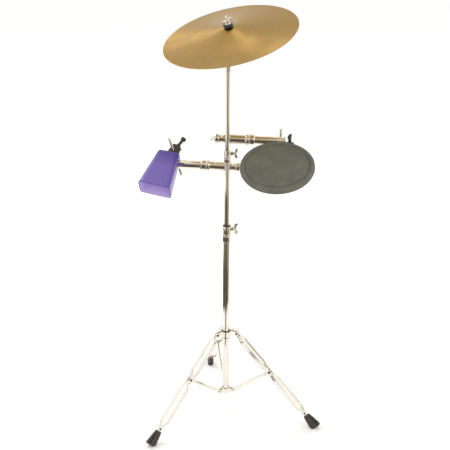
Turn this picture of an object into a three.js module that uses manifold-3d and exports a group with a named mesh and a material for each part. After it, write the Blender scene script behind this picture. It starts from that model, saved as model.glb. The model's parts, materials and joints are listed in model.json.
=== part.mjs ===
// A folding double-braced stand that carries a cymbal, a round rubber practice pad and a cowbell.
// Millimetres, +Z up. The origin is on the floor, under the axis of the stand's tubes.
// The player's side is -Y: the pad and the mouth of the cowbell face that way.
import * as THREE from 'three';
import { mergeVertices } from 'three/addons/utils/BufferGeometryUtils.js';
import Module from 'manifold-3d';

const wasm = await Module();
wasm.setup();

// ---------------------------------------------------------------- driving dimensions

const FIT = 0.35; // radial gap wherever one piece turns, slides or rests in another
const PIN_SIDES = 8;
const TUBE_SIDES = 18;

const BASE_TUBE = { radius: 12.7, wall: 1.3, bottom: 84, top: 720 };
const MIDDLE_TUBE = { radius: 9.525, wall: 1.2, bottom: 560, top: 1000 };
const TOP_ROD = { radius: 7.95, wall: 1.6, bottom: 860, top: 1285 };

const LEG_AZIMUTHS = { rear: 100.4, right: -18.7, left: 221 };
const LEG = {
  pivotRadius: 41.4, pivotHeight: 331, angle: 43.1, // angle from the vertical
  joint: 183, end: 432, // distances along the leg from its top pivot
  barHeight: 14.5, barThickness: 2.5, halfSpread: 14,
};
const RIVET_RADIUS = 2.5;
const EAR = { round: 8, thickness: 2 };
const LEG_COLLAR = { bottom: 308, top: 336, radius: 17.5 };
const HUB = { pivotRadius: 26.5, pivotHeight: 92.4, radius: 17, bottom: 84, top: 101 };
const BRACE = { width: 7, height: 13, wall: 1.4, overhang: 7 };
const BOOT = { start: 390, length: 55, neckHalf: [6.5, 11.5], soleHalf: [10.8, 20] };

const LOWER_CLAMP = { bottom: 684, top: 740, radius: 14.6, bolt: 729 };
const UPPER_CLAMP = { bottom: 968, top: 1007, radius: 11.6, bolt: 998 };

const TILTER = { height: 1374.4, radius: 13, offset: 12.4 }; // offset of the cymbal post along the hinge axis
const CYMBAL = { radius: 218, bellHeight: 31, thickness: 1.2, hole: 6.5, yaw: -41.2, tilt: 19, post: 45 };

const ARM = {
  offset: 13, sleeveRadius: 16.5, tubeRadius: 15.2, tubeWall: 2, tubeStart: 37,
  sleeveEnd: 72, ringStart: 59, ringEnd: 90, ringRadius: 19.7, capStart: -43, capEnd: -30,
  eyeReach: 38,
};
const UPPER_ARM = { height: 1044, reach: 192, eyeInset: 20 };
const LOWER_ARM = { height: 948, reach: 187, eyeInset: 10 };
const ARM_YAW = -8;

const ROD_RADIUS = 4.3;
const PAD_ROD = { above: 34, below: 28, legYaw: -45, leg: 54, bend: 12 };
const PAD = { x: 157, y: -152, z: 1007, yaw: -10.4, tilt: 23, radius: 118.5, playRadius: 101.6 };
const PAD_DEPTH = { rubber: 14, base: 19, strap: 25 };
const BELL_ROD = { above: 88, below: 50, lean: 18, grip: 38 };
const BELL = {
  x: -192, y: 15, z: 988.5, yaw: -20.2, pitch: -56, roll: 8.5, length: 150, wall: 3,
  topHalf: [37.5, 19], mouthHalf: [54, 29.5],
};
const BELL_CLAMP = { width: 36, thickness: 12, height: 66, footBack: 12 };

// ---------------------------------------------------------------- materials

const finish = (color, roughness, metalness, extra = {}) =>
  new THREE.MeshStandardMaterial({ color, roughness, metalness, ...extra });
const chrome = finish(0xd8d4c8, 0.12, 1);
const blackSteel = finish(0x2a2620, 0.4, 0.6);
const blackPlastic = finish(0x2b2822, 0.5, 0);
const rubberFoot = finish(0x3a352b, 0.8, 0);
const padRubber = finish(0x64665a, 0.85, 0);
const padBoard = finish(0x3b3a34, 0.7, 0);
const felt = finish(0x2a2824, 0.95, 0);
const bronze = finish(0xc79a45, 0.28, 1);
const purple = finish(0x6f56ae, 0.2, 0, { transparent: true, opacity: 0.75 });

// ---------------------------------------------------------------- small tools

const radians = THREE.MathUtils.degToRad;

/** Keeps positions only, welds shared corners, drops empty triangles and turns the faces outwards. */
function welded(geometry) {
  const bare = geometry.clone();
  bare.deleteAttribute('normal');
  bare.deleteAttribute('uv');
  const merged = mergeVertices(bare, 1e-3);
  const spots = merged.getAttribute('position');
  const corner = (i) => new THREE.Vector3().fromBufferAttribute(spots, i);
  const faces = [];
  let volume = 0;
  for (let i = 0; i < merged.index.count; i += 3) {
    const [a, b, c] = [0, 1, 2].map((k) => merged.index.getX(i + k));
    if (a === b || b === c || c === a) continue;
    faces.push(a, b, c);
    volume += corner(a).dot(corner(b).cross(corner(c)));
  }
  merged.setIndex(volume < 0 ? faces.reverse() : faces);
  return merged;
}

function toSolid(geometry) {
  const mesh = welded(geometry);
  return new wasm.Manifold(new wasm.Mesh({
    numProp: 3,
    vertProperties: new Float32Array(mesh.getAttribute('position').array),
    triVerts: new Uint32Array(mesh.index.array),
  }));
}

function toGeometry(solid) {
  const mesh = solid.simplify(0.02).getMesh();
  const geometry = new THREE.BufferGeometry();
  geometry.setAttribute('position', new THREE.BufferAttribute(new Float32Array(mesh.vertProperties), 3));
  geometry.setIndex(new THREE.BufferAttribute(new Uint32Array(mesh.triVerts), 1));
  return geometry;
}

const join = (...parts) => toGeometry(parts.map(toSolid).reduce((whole, part) => whole.add(part)));
const cut = (body, ...tools) =>
  toGeometry(tools.map(toSolid).reduce((whole, tool) => whole.subtract(tool), toSolid(body)));

/** A body turned about Z from a profile of [radius, height] points. */
function turned(profile, sides = TUBE_SIDES) {
  const points = profile.map(([radius, height]) => new THREE.Vector2(radius, height));
  return new THREE.LatheGeometry(points, sides).rotateX(Math.PI / 2);
}

/** A hollow cylinder about Z, open at both ends. */
function pipe(outer, inner, bottom, top, sides = TUBE_SIDES) {
  return turned([[inner, bottom], [outer, bottom], [outer, top], [inner, top], [inner, bottom]], sides);
}

/** A round bar between two points given as [x, y, z]. */
function bar(radius, from, to, sides = PIN_SIDES) {
  const start = new THREE.Vector3(...from);
  const along = new THREE.Vector3(...to).sub(start);
  const length = along.length();
  const turn = new THREE.Quaternion().setFromUnitVectors(new THREE.Vector3(0, 1, 0), along.normalize());
  return new THREE.CylinderGeometry(radius, radius, length, sides)
    .translate(0, length / 2, 0).applyQuaternion(turn).translate(...from);
}

function block(low, high) {
  const size = high.map((value, i) => value - low[i]);
  const middle = high.map((value, i) => (value + low[i]) / 2);
  return new THREE.BoxGeometry(...size).translate(...middle);
}

/** A flat plate cut to a shape drawn in X and Z, centred on Y = middle. */
function uprightPlate(shape, thickness, middle = 0, curveSegments = 3) {
  return new THREE.ExtrudeGeometry(shape, { depth: thickness, bevelEnabled: false, curveSegments })
    .translate(0, 0, -thickness / 2).rotateX(Math.PI / 2).translate(0, middle, 0);
}

/** Points a body made along +X in another direction, given by azimuth and tilt in degrees. */
const aimed = (geometry, azimuth) => geometry.rotateZ(radians(azimuth));

const root = new THREE.Group();

function piece(parent, name, geometry, material) {
  const mesh = new THREE.Mesh(welded(geometry), material);
  mesh.name = name;
  parent.add(mesh);
  return mesh;
}

function frameAt(position, rotation, parent = root) {
  const frame = new THREE.Group();
  frame.position.set(...position);
  frame.quaternion.copy(rotation);
  parent.add(frame);
  frame.updateMatrixWorld(true);
  return frame;
}

/** A turn given as yaw about Z, then tilt about the turned X, then roll about the turned Z, in degrees. */
function turn(yaw, tilt = 0, roll = 0) {
  const spin = (axis, angle) => new THREE.Quaternion().setFromAxisAngle(axis, radians(angle));
  const up = new THREE.Vector3(0, 0, 1);
  const side = new THREE.Vector3(1, 0, 0);
  return spin(up, yaw).multiply(spin(side, tilt)).multiply(spin(up, roll));
}

// ---------------------------------------------------------------- wing bolts

/** Two rounded wings in the XZ plane that rise along +X from a hub. */
function wings(hubRadius, hubLength, span, tipRadius, thickness) {
  const tipX = hubLength + 1;
  const tipZ = span / 2 - tipRadius;
  const shape = new THREE.Shape();
  shape.moveTo(1, hubRadius * 0.6);
  shape.lineTo(tipX - tipRadius * 1.1, tipZ);
  shape.absarc(tipX, tipZ, tipRadius, Math.PI * 0.8, -Math.PI * 0.2, true);
  shape.lineTo(hubLength * 0.85, 0);
  shape.absarc(tipX, -tipZ, tipRadius, Math.PI * 0.2, -Math.PI * 0.8, true);
  shape.lineTo(1, -hubRadius * 0.6);
  return uprightPlate(shape, thickness);
}

/** A wing bolt along +X: its seat is at X = 0 and its shaft runs to -shaft. */
function wingBolt({ shaftRadius = 3, shaft, hubRadius = 5.5, hub = 10, span = 42, tip = 6, thickness = 3.4 }) {
  return join(
    bar(shaftRadius, [-shaft, 0, 0], [1, 0, 0]),
    bar(hubRadius, [0, 0, 0], [hub, 0, 0], 12),
    wings(hubRadius, hub, span, tip, thickness),
  );
}

// ---------------------------------------------------------------- tubes and height clamps

function buildBase() {
  const { radius, wall, bottom, top } = BASE_TUBE;
  piece(root, 'base_tube', pipe(radius, radius - wall, bottom, top), chrome);

  const clamp = LOWER_CLAMP;
  const boltHole = bar(3 + FIT, [11.2, 0, clamp.bolt], [radius + 14, 0, clamp.bolt]);
  const shell = turned([
    [radius + FIT, clamp.bottom], [clamp.radius, clamp.bottom], [clamp.radius, 703], [clamp.radius + 0.9, 705],
    [clamp.radius + 0.9, 709], [clamp.radius, 711], [clamp.radius, clamp.top], [11.5, clamp.top],
    [11.5, top + FIT], [radius + FIT, top + FIT], [radius + FIT, clamp.bottom],
  ]);
  const boss = bar(8, [13, 0, clamp.bolt], [24, 0, clamp.bolt], 12);
  piece(root, 'lower_clamp', cut(join(shell, boss), boltHole), chrome);
  const bushInner = MIDDLE_TUBE.radius + FIT;
  piece(root, 'lower_clamp_bush', turned([
    [bushInner, 700], [11.1, 700], [11.1, clamp.top + FIT], [13.4, clamp.top + FIT], [12.6, clamp.top + 3],
    [bushInner, clamp.top + 3], [bushInner, 700],
  ]), blackPlastic);
  const bolt = wingBolt({ shaft: 12.4, span: 46 }).rotateX(radians(12)).translate(24 + FIT, 0, clamp.bolt);
  piece(root, 'lower_clamp_wing_bolt', bolt, chrome);
}

function buildMiddleTube() {
  const { radius, wall, bottom, top } = MIDDLE_TUBE;
  piece(root, 'middle_tube', pipe(radius, radius - wall, bottom, top), chrome);

  const clamp = UPPER_CLAMP;
  const rodGap = TOP_ROD.radius + FIT;
  const shell = turned([
    [radius + FIT, clamp.bottom], [clamp.radius, clamp.bottom], [clamp.radius, 977], [clamp.radius + 0.8, 979],
    [clamp.radius + 0.8, 983], [clamp.radius, 985], [clamp.radius, clamp.top], [rodGap, clamp.top],
    [rodGap, top + FIT], [radius + FIT, top + FIT], [radius + FIT, clamp.bottom],
  ]);
  const boss = bar(7, [10.5, 0, clamp.bolt], [22, 0, clamp.bolt], 12);
  const slot = block([-1, -14, clamp.top - 5], [1, -6, clamp.top + 1]);
  const hole = bar(3 + FIT, [10.6, 0, clamp.bolt], [24, 0, clamp.bolt]);
  piece(root, 'upper_clamp', cut(join(shell, boss), hole, slot), chrome);
  const bolt = wingBolt({ shaft: 10.5, hubRadius: 5, hub: 9, span: 34, tip: 5 });
  piece(root, 'upper_clamp_wing_bolt', bolt.translate(22 + FIT, 0, clamp.bolt), chrome);
}

function buildTopRod() {
  const { radius, wall, bottom, top } = TOP_ROD;
  piece(root, 'top_rod', pipe(radius, radius - wall, bottom, top), chrome);
}

// ---------------------------------------------------------------- tripod

/** One ear of a clevis, in the plane through the stand's axis, from the ring out to its rivet. */
function ear(fromRadius, pivotRadius, pivotHeight, middle, hole) {
  const shape = new THREE.Shape();
  shape.moveTo(fromRadius, pivotHeight - EAR.round);
  shape.lineTo(pivotRadius, pivotHeight - EAR.round);
  shape.absarc(pivotRadius, pivotHeight, EAR.round, -Math.PI / 2, Math.PI / 2, false);
  shape.lineTo(fromRadius, pivotHeight + EAR.round);
  if (hole) shape.holes.push(new THREE.Path().absarc(pivotRadius, pivotHeight, hole, 0, 2 * Math.PI, true));
  return uprightPlate(shape, EAR.thickness, middle, 4);
}

function buildLegCollar() {
  const { bottom, top, radius } = LEG_COLLAR;
  const bore = BASE_TUBE.radius + FIT + 0.2;
  const earMiddle = LEG.barThickness + FIT + 0.35 + EAR.thickness / 2;
  const parts = [pipe(radius, bore, bottom, top)];
  for (const azimuth of Object.values(LEG_AZIMUTHS)) {
    for (const side of [-1, 1]) {
      const plate = ear(radius - 2, LEG.pivotRadius, top - EAR.round - 1, side * earMiddle, 0);
      const height = LEG.pivotHeight - (top - EAR.round - 1);
      parts.push(aimed(plate.translate(0, 0, height), azimuth));
    }
  }
  const boltAzimuth = (LEG_AZIMUTHS.rear + LEG_AZIMUTHS.right) / 2;
  const boltHeight = 325;
  const bossEnd = 36;
  parts.push(aimed(bar(7.5, [15.5, 0, boltHeight], [bossEnd, 0, boltHeight], 12), boltAzimuth));
  const holes = [aimed(bar(3 + FIT, [12, 0, boltHeight], [bossEnd + 2, 0, boltHeight]), boltAzimuth)];
  for (const azimuth of Object.values(LEG_AZIMUTHS)) {
    const rivet = bar(RIVET_RADIUS + FIT + 0.1, [LEG.pivotRadius, -9, LEG.pivotHeight], [LEG.pivotRadius, 9, LEG.pivotHeight]);
    holes.push(aimed(rivet, azimuth));
  }
  const seat = pipe(radius - 1.2, bore - 1, top - 5, top + 6);
  piece(root, 'leg_collar', cut(join(...parts), ...holes, seat), chrome);
  piece(root, 'leg_collar_bush', pipe(radius - 1.2 - FIT, bore, top - 5 + FIT, top + 1.5), blackPlastic);
  const bolt = wingBolt({ shaft: 21.5, span: 42 }).rotateX(radians(68)).translate(bossEnd + FIT, 0, boltHeight);
  piece(root, 'leg_collar_wing_bolt', aimed(bolt, boltAzimuth), chrome);
}

function buildHub() {
  const { pivotRadius, pivotHeight, radius, bottom, top } = HUB;
  const earMiddle = BRACE.width / 2 + 0.6 + EAR.thickness / 2;
  const cup = turned([
    [0, bottom - 4], [radius, bottom - 4], [radius, top], [BASE_TUBE.radius + FIT, top],
    [BASE_TUBE.radius + FIT, bottom - FIT], [0, bottom - FIT],
  ]);
  const parts = [cup];
  for (const azimuth of Object.values(LEG_AZIMUTHS)) {
    for (const side of [-1, 1]) {
      parts.push(aimed(ear(radius - 2, pivotRadius, pivotHeight, side * earMiddle, 0), azimuth));
    }
    const reach = earMiddle + EAR.thickness / 2 + 1.4;
    const pin = bar(RIVET_RADIUS, [pivotRadius, -reach, pivotHeight], [pivotRadius, reach, pivotHeight]);
    parts.push(aimed(pin, azimuth));
  }
  piece(root, 'brace_hub', join(...parts), chrome);
}

/** A flat outline of constant thickness along a bent line of [x, y] points. */
function ribbon(points, thickness) {
  const line = points.map(([x, y]) => new THREE.Vector2(x, y));
  const side = (sign) => line.map((point, i) => {
    const before = line[Math.max(i - 1, 0)];
    const after = line[Math.min(i + 1, line.length - 1)];
    const inward = point.clone().sub(before);
    const outward = after.clone().sub(point);
    const first = (inward.lengthSq() ? inward : outward.clone()).normalize();
    const second = (outward.lengthSq() ? outward : inward.clone()).normalize();
    const middle = first.clone().add(second).normalize();
    const across = new THREE.Vector2(-middle.y, middle.x);
    return point.clone().addScaledVector(across, (sign * thickness) / 2 / middle.dot(first));
  });
  return new THREE.Shape([...side(1), ...side(-1).reverse()]);
}

/** Turns a body made along +X, with its height along Z, into the plane of a leg at rest. */
function alongLeg(geometry) {
  const down = radians(LEG.angle);
  const along = new THREE.Vector3(Math.sin(down), 0, -Math.cos(down));
  const upright = new THREE.Vector3(Math.cos(down), 0, Math.sin(down));
  const basis = new THREE.Matrix4().makeBasis(along, new THREE.Vector3(0, 1, 0), upright);
  return geometry.applyMatrix4(basis).translate(LEG.pivotRadius, 0, LEG.pivotHeight);
}

/** One of a leg's two bars. They run apart, and meet at the collar, at the brace and in the boot. */
function legBar(side) {
  const half = LEG.barThickness / 2;
  const pinched = half + 0.3;
  const atBrace = BRACE.width / 2 + 0.5 + half;
  const { joint, end, halfSpread: wide } = LEG;
  const path = [
    [-8, pinched], [12, pinched], [34, wide], [joint - 34, wide], [joint - 13, atBrace],
    [joint + 13, atBrace], [joint + 34, wide], [352, wide], [378, pinched], [end, pinched],
  ].map(([x, y]) => [x, side * y]);
  const strip = new THREE.ExtrudeGeometry(ribbon(path, LEG.barThickness), {
    depth: LEG.barHeight, bevelEnabled: false,
  }).translate(0, 0, -LEG.barHeight / 2);
  const hole = bar(RIVET_RADIUS + FIT + 0.1, [0, side * 0.15, 0], [0, side * 5, 0]);
  return alongLeg(cut(strip, hole));
}

/** A rubber boot on the leg's end: a wedge that widens to its sole, worn flat where it meets the floor. */
function boot() {
  const { start, length, neckHalf, soleHalf } = BOOT;
  const body = taperedBox(neckHalf, soleHalf, length, 5).rotateY(-Math.PI / 2).rotateX(-Math.PI / 2)
    .translate(start, 0, 0);
  const halfHeight = LEG.barHeight / 2 + FIT;
  const halfWidth = LEG.barThickness + 0.3 + FIT;
  const pocket = block([start - 5, -halfWidth, -halfHeight], [LEG.end + 3, halfWidth, halfHeight]);
  const floor = block([0, -60, -60], [500, 60, 0]);
  return cut(alongLeg(cut(body, pocket)), floor);
}

/** A channel that opens downwards, from the hub's rivet out to the middle of a leg. */
function brace() {
  const down = radians(LEG.angle);
  const jointRadius = LEG.pivotRadius + LEG.joint * Math.sin(down);
  const jointHeight = LEG.pivotHeight - LEG.joint * Math.cos(down);
  const run = jointRadius - HUB.pivotRadius;
  const rise = jointHeight - HUB.pivotHeight;
  const length = Math.hypot(run, rise);
  const { width, height, wall, overhang } = BRACE;
  const outer = block([-overhang, -width / 2, -height / 2], [length + overhang, width / 2, height / 2]);
  const channel = block(
    [-overhang - 1, -width / 2 + wall, -height / 2 - 1],
    [length + overhang + 1, width / 2 - wall, height / 2 - wall],
  );
  const hole = bar(RIVET_RADIUS + FIT + 0.1, [0, -6, 0], [0, 6, 0]);
  return cut(outer, channel, hole).rotateY(-Math.atan2(rise, run))
    .translate(HUB.pivotRadius, 0, HUB.pivotHeight);
}

function buildLegs() {
  for (const [name, azimuth] of Object.entries(LEG_AZIMUTHS)) {
    const leg = frameAt([0, 0, 0], turn(azimuth));
    piece(leg, `leg_${name}_bar_a`, legBar(1), chrome);
    piece(leg, `leg_${name}_bar_b`, legBar(-1), chrome);
    piece(leg, `leg_${name}_foot`, boot(), rubberFoot);
    piece(leg, `brace_${name}`, brace(), chrome);
    const spot = (y) => [LEG.pivotRadius, y, LEG.pivotHeight];
    const headFrom = LEG.barThickness + 2 * FIT + EAR.thickness + 0.3;
    const rivet = join(
      bar(RIVET_RADIUS, spot(-headFrom - 1), spot(headFrom + 1)),
      bar(4.2, spot(headFrom), spot(headFrom + 1.8)),
      bar(4.2, spot(-headFrom), spot(-headFrom - 1.8)),
    );
    piece(leg, `leg_${name}_rivet`, rivet, blackSteel);
  }
}

// ---------------------------------------------------------------- cymbal and its tilter

function buildTilter() {
  const { height, radius, offset } = TILTER;
  const hinge = frameAt([0, 0, height], turn(CYMBAL.yaw));
  const stem = TOP_ROD.top - height;
  const socket = pipe(radius - 2, TOP_ROD.radius + FIT, stem - 14, stem + FIT);
  const neck = bar(radius - 2, [0, 0, stem], [0, 0, stem + 18], TUBE_SIDES);
  const column = bar(6.5, [0, 0, stem + 12], [0, 0, -4], 12);
  const baseDisc = bar(radius, [-8, 0, 0], [1.5, 0, 0], 18);
  const bore = bar(3.5 + FIT, [-9, 0, 0], [9, 0, 0]);
  piece(hinge, 'tilter_base', cut(join(socket, neck, column, baseDisc), bore), chrome);
  const bolt = wingBolt({ shaftRadius: 3.5, shaft: 15, hubRadius: 6, hub: 10, span: 40 });
  piece(hinge, 'tilter_wing_bolt', bolt.rotateZ(Math.PI).translate(-8 - FIT, 0, 0), chrome);

  const head = frameAt([0, 0, 0], turn(0, CYMBAL.tilt), hinge);
  const headDisc = bar(radius, [6.5 + FIT, 0, 0], [12, 0, 0], 18);
  const arm = block([8.5, -7, -7], [offset + 7, 7, 10]);
  const socketHole = bar(3.5 + FIT, [5, 0, 0], [offset - 4.8, 0, 0]);
  const postHole = bar(4 + FIT, [offset, 0, 2], [offset, 0, 14], 12);
  piece(head, 'tilter_head', cut(join(headDisc, arm), socketHole, postHole), chrome);

  const top = frameAt([offset, 0, 0], turn(0), head);
  buildCymbal(top);
}

/** Height of the cymbal's upper face over its edge, at a radius. */
const bowHeight = (radius) => CYMBAL.bellHeight * (1 - radius / CYMBAL.radius) ** 1.5;

function buildCymbal(post) {
  const { post: seat, thickness, hole, radius } = CYMBAL;
  const lift = seat - CYMBAL.bellHeight;
  const feltRadius = 16;
  const under = (r) => lift + bowHeight(r) - thickness;
  piece(post, 'cymbal_post', bar(4, [0, 0, 2 + FIT], [0, 0, seat + 34], 12), chrome);
  const washerTop = under(feltRadius) - FIT - 5;
  piece(post, 'cymbal_seat', pipe(13, 4 + FIT, washerTop - 6, washerTop, 20), chrome);
  piece(post, 'lower_felt', turned([
    [4.6, washerTop + FIT], [feltRadius, washerTop + FIT], [feltRadius, under(feltRadius) - FIT],
    [hole, under(hole) - FIT - 0.2], [4.6, under(hole) - FIT - 0.2], [4.6, washerTop + FIT],
  ], 20), felt);
  const radii = [hole, 30, 75, 140, radius];
  const upper = radii.map((r) => [r, lift + bowHeight(r)]);
  const lower = radii.map((r) => [r, lift + bowHeight(r) - thickness]).reverse();
  piece(post, 'cymbal', turned([...upper, ...lower, upper[0]], 32), bronze);
  const feltBottom = lift + bowHeight(hole) + FIT;
  piece(post, 'upper_felt', pipe(feltRadius, 4.6, feltBottom, feltBottom + 9, 20), felt);
  const nut = cut(
    join(bar(6.5, [0, 0, 0], [11, 0, 0], 12), bar(11, [0, 0, 0], [2, 0, 0], 16), wings(6.5, 11, 40, 6, 4)),
    bar(4 + FIT + 0.1, [-1, 0, 0], [30, 0, 0], 12),
  );
  const nutUp = nut.rotateY(-Math.PI / 2).rotateZ(radians(60)).translate(0, 0, feltBottom + 9 + FIT);
  piece(post, 'cymbal_wing_nut', nutUp, chrome);
}

// ---------------------------------------------------------------- clamp arms

/** The whole clamp arm along +X. The stand's tube stands at the origin, and the arm runs behind it. */
function buildArm(prefix, tubeRadius, { reach, eyeInset }, frame, lean) {
  const { offset, sleeveRadius, tubeRadius: radius, ringStart, ringEnd, ringRadius, capStart, capEnd } = ARM;
  const axis = (x) => [x, offset, 0];
  const along = (profile, sides) => turned(profile, sides).rotateY(Math.PI / 2).translate(0, offset, 0);
  const grip = tubeRadius + FIT;
  const notch = [
    bar(grip, [0, 0, -30], [0, 0, 30], TUBE_SIDES),
    block([-grip, -30, -30], [grip, 0, 30]),
  ];

  const sleeve = cut(
    bar(sleeveRadius, axis(1.5), axis(ARM.sleeveEnd), TUBE_SIDES),
    ...notch,
    bar(radius + FIT + 0.1, axis(26), axis(ARM.sleeveEnd + 1), TUBE_SIDES),
    bar(3 + FIT, axis(0), axis(20)),
  );
  piece(frame, `${prefix}_sleeve`, sleeve, chrome);

  const nose = bar(sleeveRadius - 2, axis(capEnd - 1), axis(-1.5), TUBE_SIDES);
  const cap = along([
    [0, capStart], [sleeveRadius - 2, capStart], [sleeveRadius, capStart + 2], [sleeveRadius, capEnd],
    [0, capEnd],
  ]);
  const vee = (z) => new THREE.BoxGeometry(15, 60, 15).rotateY(Math.PI / 4).translate(-20, offset, z);
  const tieHole = bar(3 + FIT, axis(capStart - 1), axis(2));
  piece(frame, `${prefix}_jaw`, cut(join(cap, nose), ...notch, vee(19), vee(-19), tieHole), chrome);
  const tie = wingBolt({ shaft: -capStart + 17, hub: 12, span: 44 }).rotateX(radians(90)).rotateZ(Math.PI);
  piece(frame, `${prefix}_tie_wing_bolt`, tie.translate(capStart - FIT, offset, 0), chrome);

  const ringBore = sleeveRadius + FIT;
  const tubeBore = radius + FIT;
  piece(frame, `${prefix}_lock_ring`, along([
    [ringBore, ringStart], [ringRadius - 1.6, ringStart], [ringRadius, ringStart + 4],
    [ringRadius, ringEnd - 3], [ringRadius - 1.6, ringEnd], [tubeBore, ringEnd], [tubeBore, ARM.sleeveEnd + FIT], [ringBore, ARM.sleeveEnd + FIT],
    [ringBore, ringStart],
  ]), chrome);

  const inside = radius - ARM.tubeWall;
  const start = ARM.tubeStart;
  const eyeX = reach - eyeInset;
  const tube = along([
    [inside, start], [radius, start], [radius, reach - 1.5], [radius - 1.5, reach], [0, reach],
    [0, reach - 3], [inside, reach - 3], [inside, start],
  ]);
  const crossHole = bar(3 + FIT, [eyeX, -10, 0], [eyeX, 40, 0]);
  piece(frame, `${prefix}_tube`, cut(tube, crossHole), chrome);

  const eye = frameAt([eyeX, 0, 0], new THREE.Quaternion().setFromAxisAngle(
    new THREE.Vector3(0, 1, 0), radians(lean)), frame);
  const nutFace = offset - radius - 1;
  const eyeRing = bar(9, [0, ARM.eyeReach, -7], [0, ARM.eyeReach, 7], 16);
  const shank = bar(3, [0, nutFace - 7, 0], [0, ARM.eyeReach - 6, 0]);
  const rodHole = bar(ROD_RADIUS + FIT + 0.1, [0, ARM.eyeReach, -9], [0, ARM.eyeReach, 9], 12);
  piece(eye, `${prefix}_eye_bolt`, cut(join(eyeRing, shank), rodHole), chrome);
  const nut = cut(
    bar(7, [eyeX, nutFace - 5.5, 0], [eyeX, nutFace, 0], 6),
    bar(3 + FIT, [eyeX, nutFace - 7, 0], [eyeX, nutFace + 1, 0]),
  );
  piece(frame, `${prefix}_eye_nut`, nut, chrome);
  return eye;
}

// ---------------------------------------------------------------- practice pad

function buildPadSide() {
  const arm = frameAt([0, 0, UPPER_ARM.height], turn(ARM_YAW));
  const eye = buildArm('upper_arm', TOP_ROD.radius, UPPER_ARM, arm, 0);

  const { above, below, legYaw, leg, bend } = PAD_ROD;
  const yaw = radians(legYaw - ARM_YAW);
  const out = new THREE.Vector3(Math.cos(yaw), Math.sin(yaw), 0);
  const corner = new THREE.Vector3(0, ARM.eyeReach, -below);
  const at = (distance) => corner.clone().addScaledVector(out, distance);
  const route = new THREE.CurvePath();
  const bendStart = new THREE.Vector3(0, ARM.eyeReach, bend - below);
  const bendEnd = at(bend);
  route.add(new THREE.LineCurve3(new THREE.Vector3(0, ARM.eyeReach, above), bendStart));
  route.add(new THREE.QuadraticBezierCurve3(bendStart, corner, bendEnd));
  route.add(new THREE.LineCurve3(bendEnd, at(leg)));
  piece(eye, 'pad_rod', sweptRod(route, 12), chrome);

  const pad = frameAt([PAD.x, PAD.y, PAD.z], turn(PAD.yaw, PAD.tilt));
  buildPad(pad, eye.localToWorld(at(bend + 12)), eye.localToWorld(at(leg + 14)));
}

/** A round section swept along a path. */
function sweptRod(path, steps) {
  const section = new THREE.Shape().absarc(0, 0, ROD_RADIUS, 0, 2 * Math.PI, false);
  return new THREE.ExtrudeGeometry(section, { extrudePath: path, steps, curveSegments: 8, bevelEnabled: false });
}

/** The pad lies in the frame's XY plane with its playing face at Z = 0. */
function buildPad(pad, rodFrom, rodTo) {
  const { radius, playRadius } = PAD;
  const { rubber, base, strap } = PAD_DEPTH;
  piece(pad, 'pad_rubber', turned([
    [0, 0], [playRadius - 1.5, 0], [playRadius, -2], [playRadius + 1.5, -2], [playRadius + 3, 1],
    [radius - 8, 3], [radius - 2.5, 1], [radius, -4], [radius, -rubber + 2], [radius - 2, -rubber], [0, -rubber],
  ], 32), padRubber);
  const boardTop = -rubber - FIT;
  piece(pad, 'pad_base', turned([
    [0, boardTop], [radius - 3, boardTop], [radius - 3, -base + 1.5], [radius - 5, -base], [0, -base],
  ], 32), padBoard);

  const start = pad.worldToLocal(rodFrom.clone());
  const end = pad.worldToLocal(rodTo.clone());
  const clampSpot = start.clone().lerp(end, 0.42);
  const heading = Math.atan2(clampSpot.y, clampSpot.x);
  const distance = Math.hypot(clampSpot.x, clampSpot.y);
  const plate = block([-40, -12, -strap], [distance + 8, 12, -base - FIT]).rotateZ(heading);
  const disc = bar(34, [0, 0, -strap], [0, 0, -base - FIT], 16);
  const top = -base - FIT;
  const bodyBlock = block([distance - 9, -9.5, clampSpot.z - 10], [distance + 9, 9.5, top]).rotateZ(heading);
  const rodHole = bar(
    ROD_RADIUS + FIT + 0.1,
    start.clone().lerp(end, -1).toArray(), start.clone().lerp(end, 2).toArray(), 12,
  );
  const screwHole = bar(3 + FIT, [clampSpot.x, clampSpot.y, clampSpot.z], [clampSpot.x, clampSpot.y, top + 2]);
  piece(pad, 'pad_bracket', cut(join(plate, disc, bodyBlock), rodHole, screwHole), blackSteel);
  const knob = clampKnob(clampSpot.z + ROD_RADIUS + 1 - top, 0, 34, 20).rotateZ(radians(70));
  piece(pad, 'pad_clamp_knob', knob.translate(clampSpot.x, clampSpot.y, top + FIT), blackPlastic);
}

// ---------------------------------------------------------------- cowbell

function buildBellSide() {
  // the same arm turned upside down, so that it runs to the other side and still behind the tube
  const flipped = turn(ARM_YAW).multiply(
    new THREE.Quaternion().setFromAxisAngle(new THREE.Vector3(0, 1, 0), Math.PI));
  const arm = frameAt([0, 0, LOWER_ARM.height], flipped);
  const { above, below, lean, grip } = BELL_ROD;
  const eye = buildArm('lower_arm', MIDDLE_TUBE.radius, LOWER_ARM, arm, -lean);
  const tip = 2;
  const rod = turned([
    [0, -above], [ROD_RADIUS - tip, -above], [ROD_RADIUS, tip - above], [ROD_RADIUS, below - tip],
    [ROD_RADIUS - tip, below], [0, below],
  ], 12).translate(0, ARM.eyeReach, 0);
  piece(eye, 'bell_rod', rod, chrome);

  const bell = frameAt([BELL.x, BELL.y, BELL.z], turn(BELL.yaw, BELL.pitch, BELL.roll));
  const gripSpot = eye.localToWorld(new THREE.Vector3(0, ARM.eyeReach, -grip));
  const ahead = eye.localToWorld(new THREE.Vector3(0, ARM.eyeReach, -grip - 10));
  const tubeLine = [100, 260].map((x) => arm.localToWorld(new THREE.Vector3(x, ARM.offset, 0)));
  buildBell(bell, gripSpot, ahead, tubeLine);
}

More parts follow.
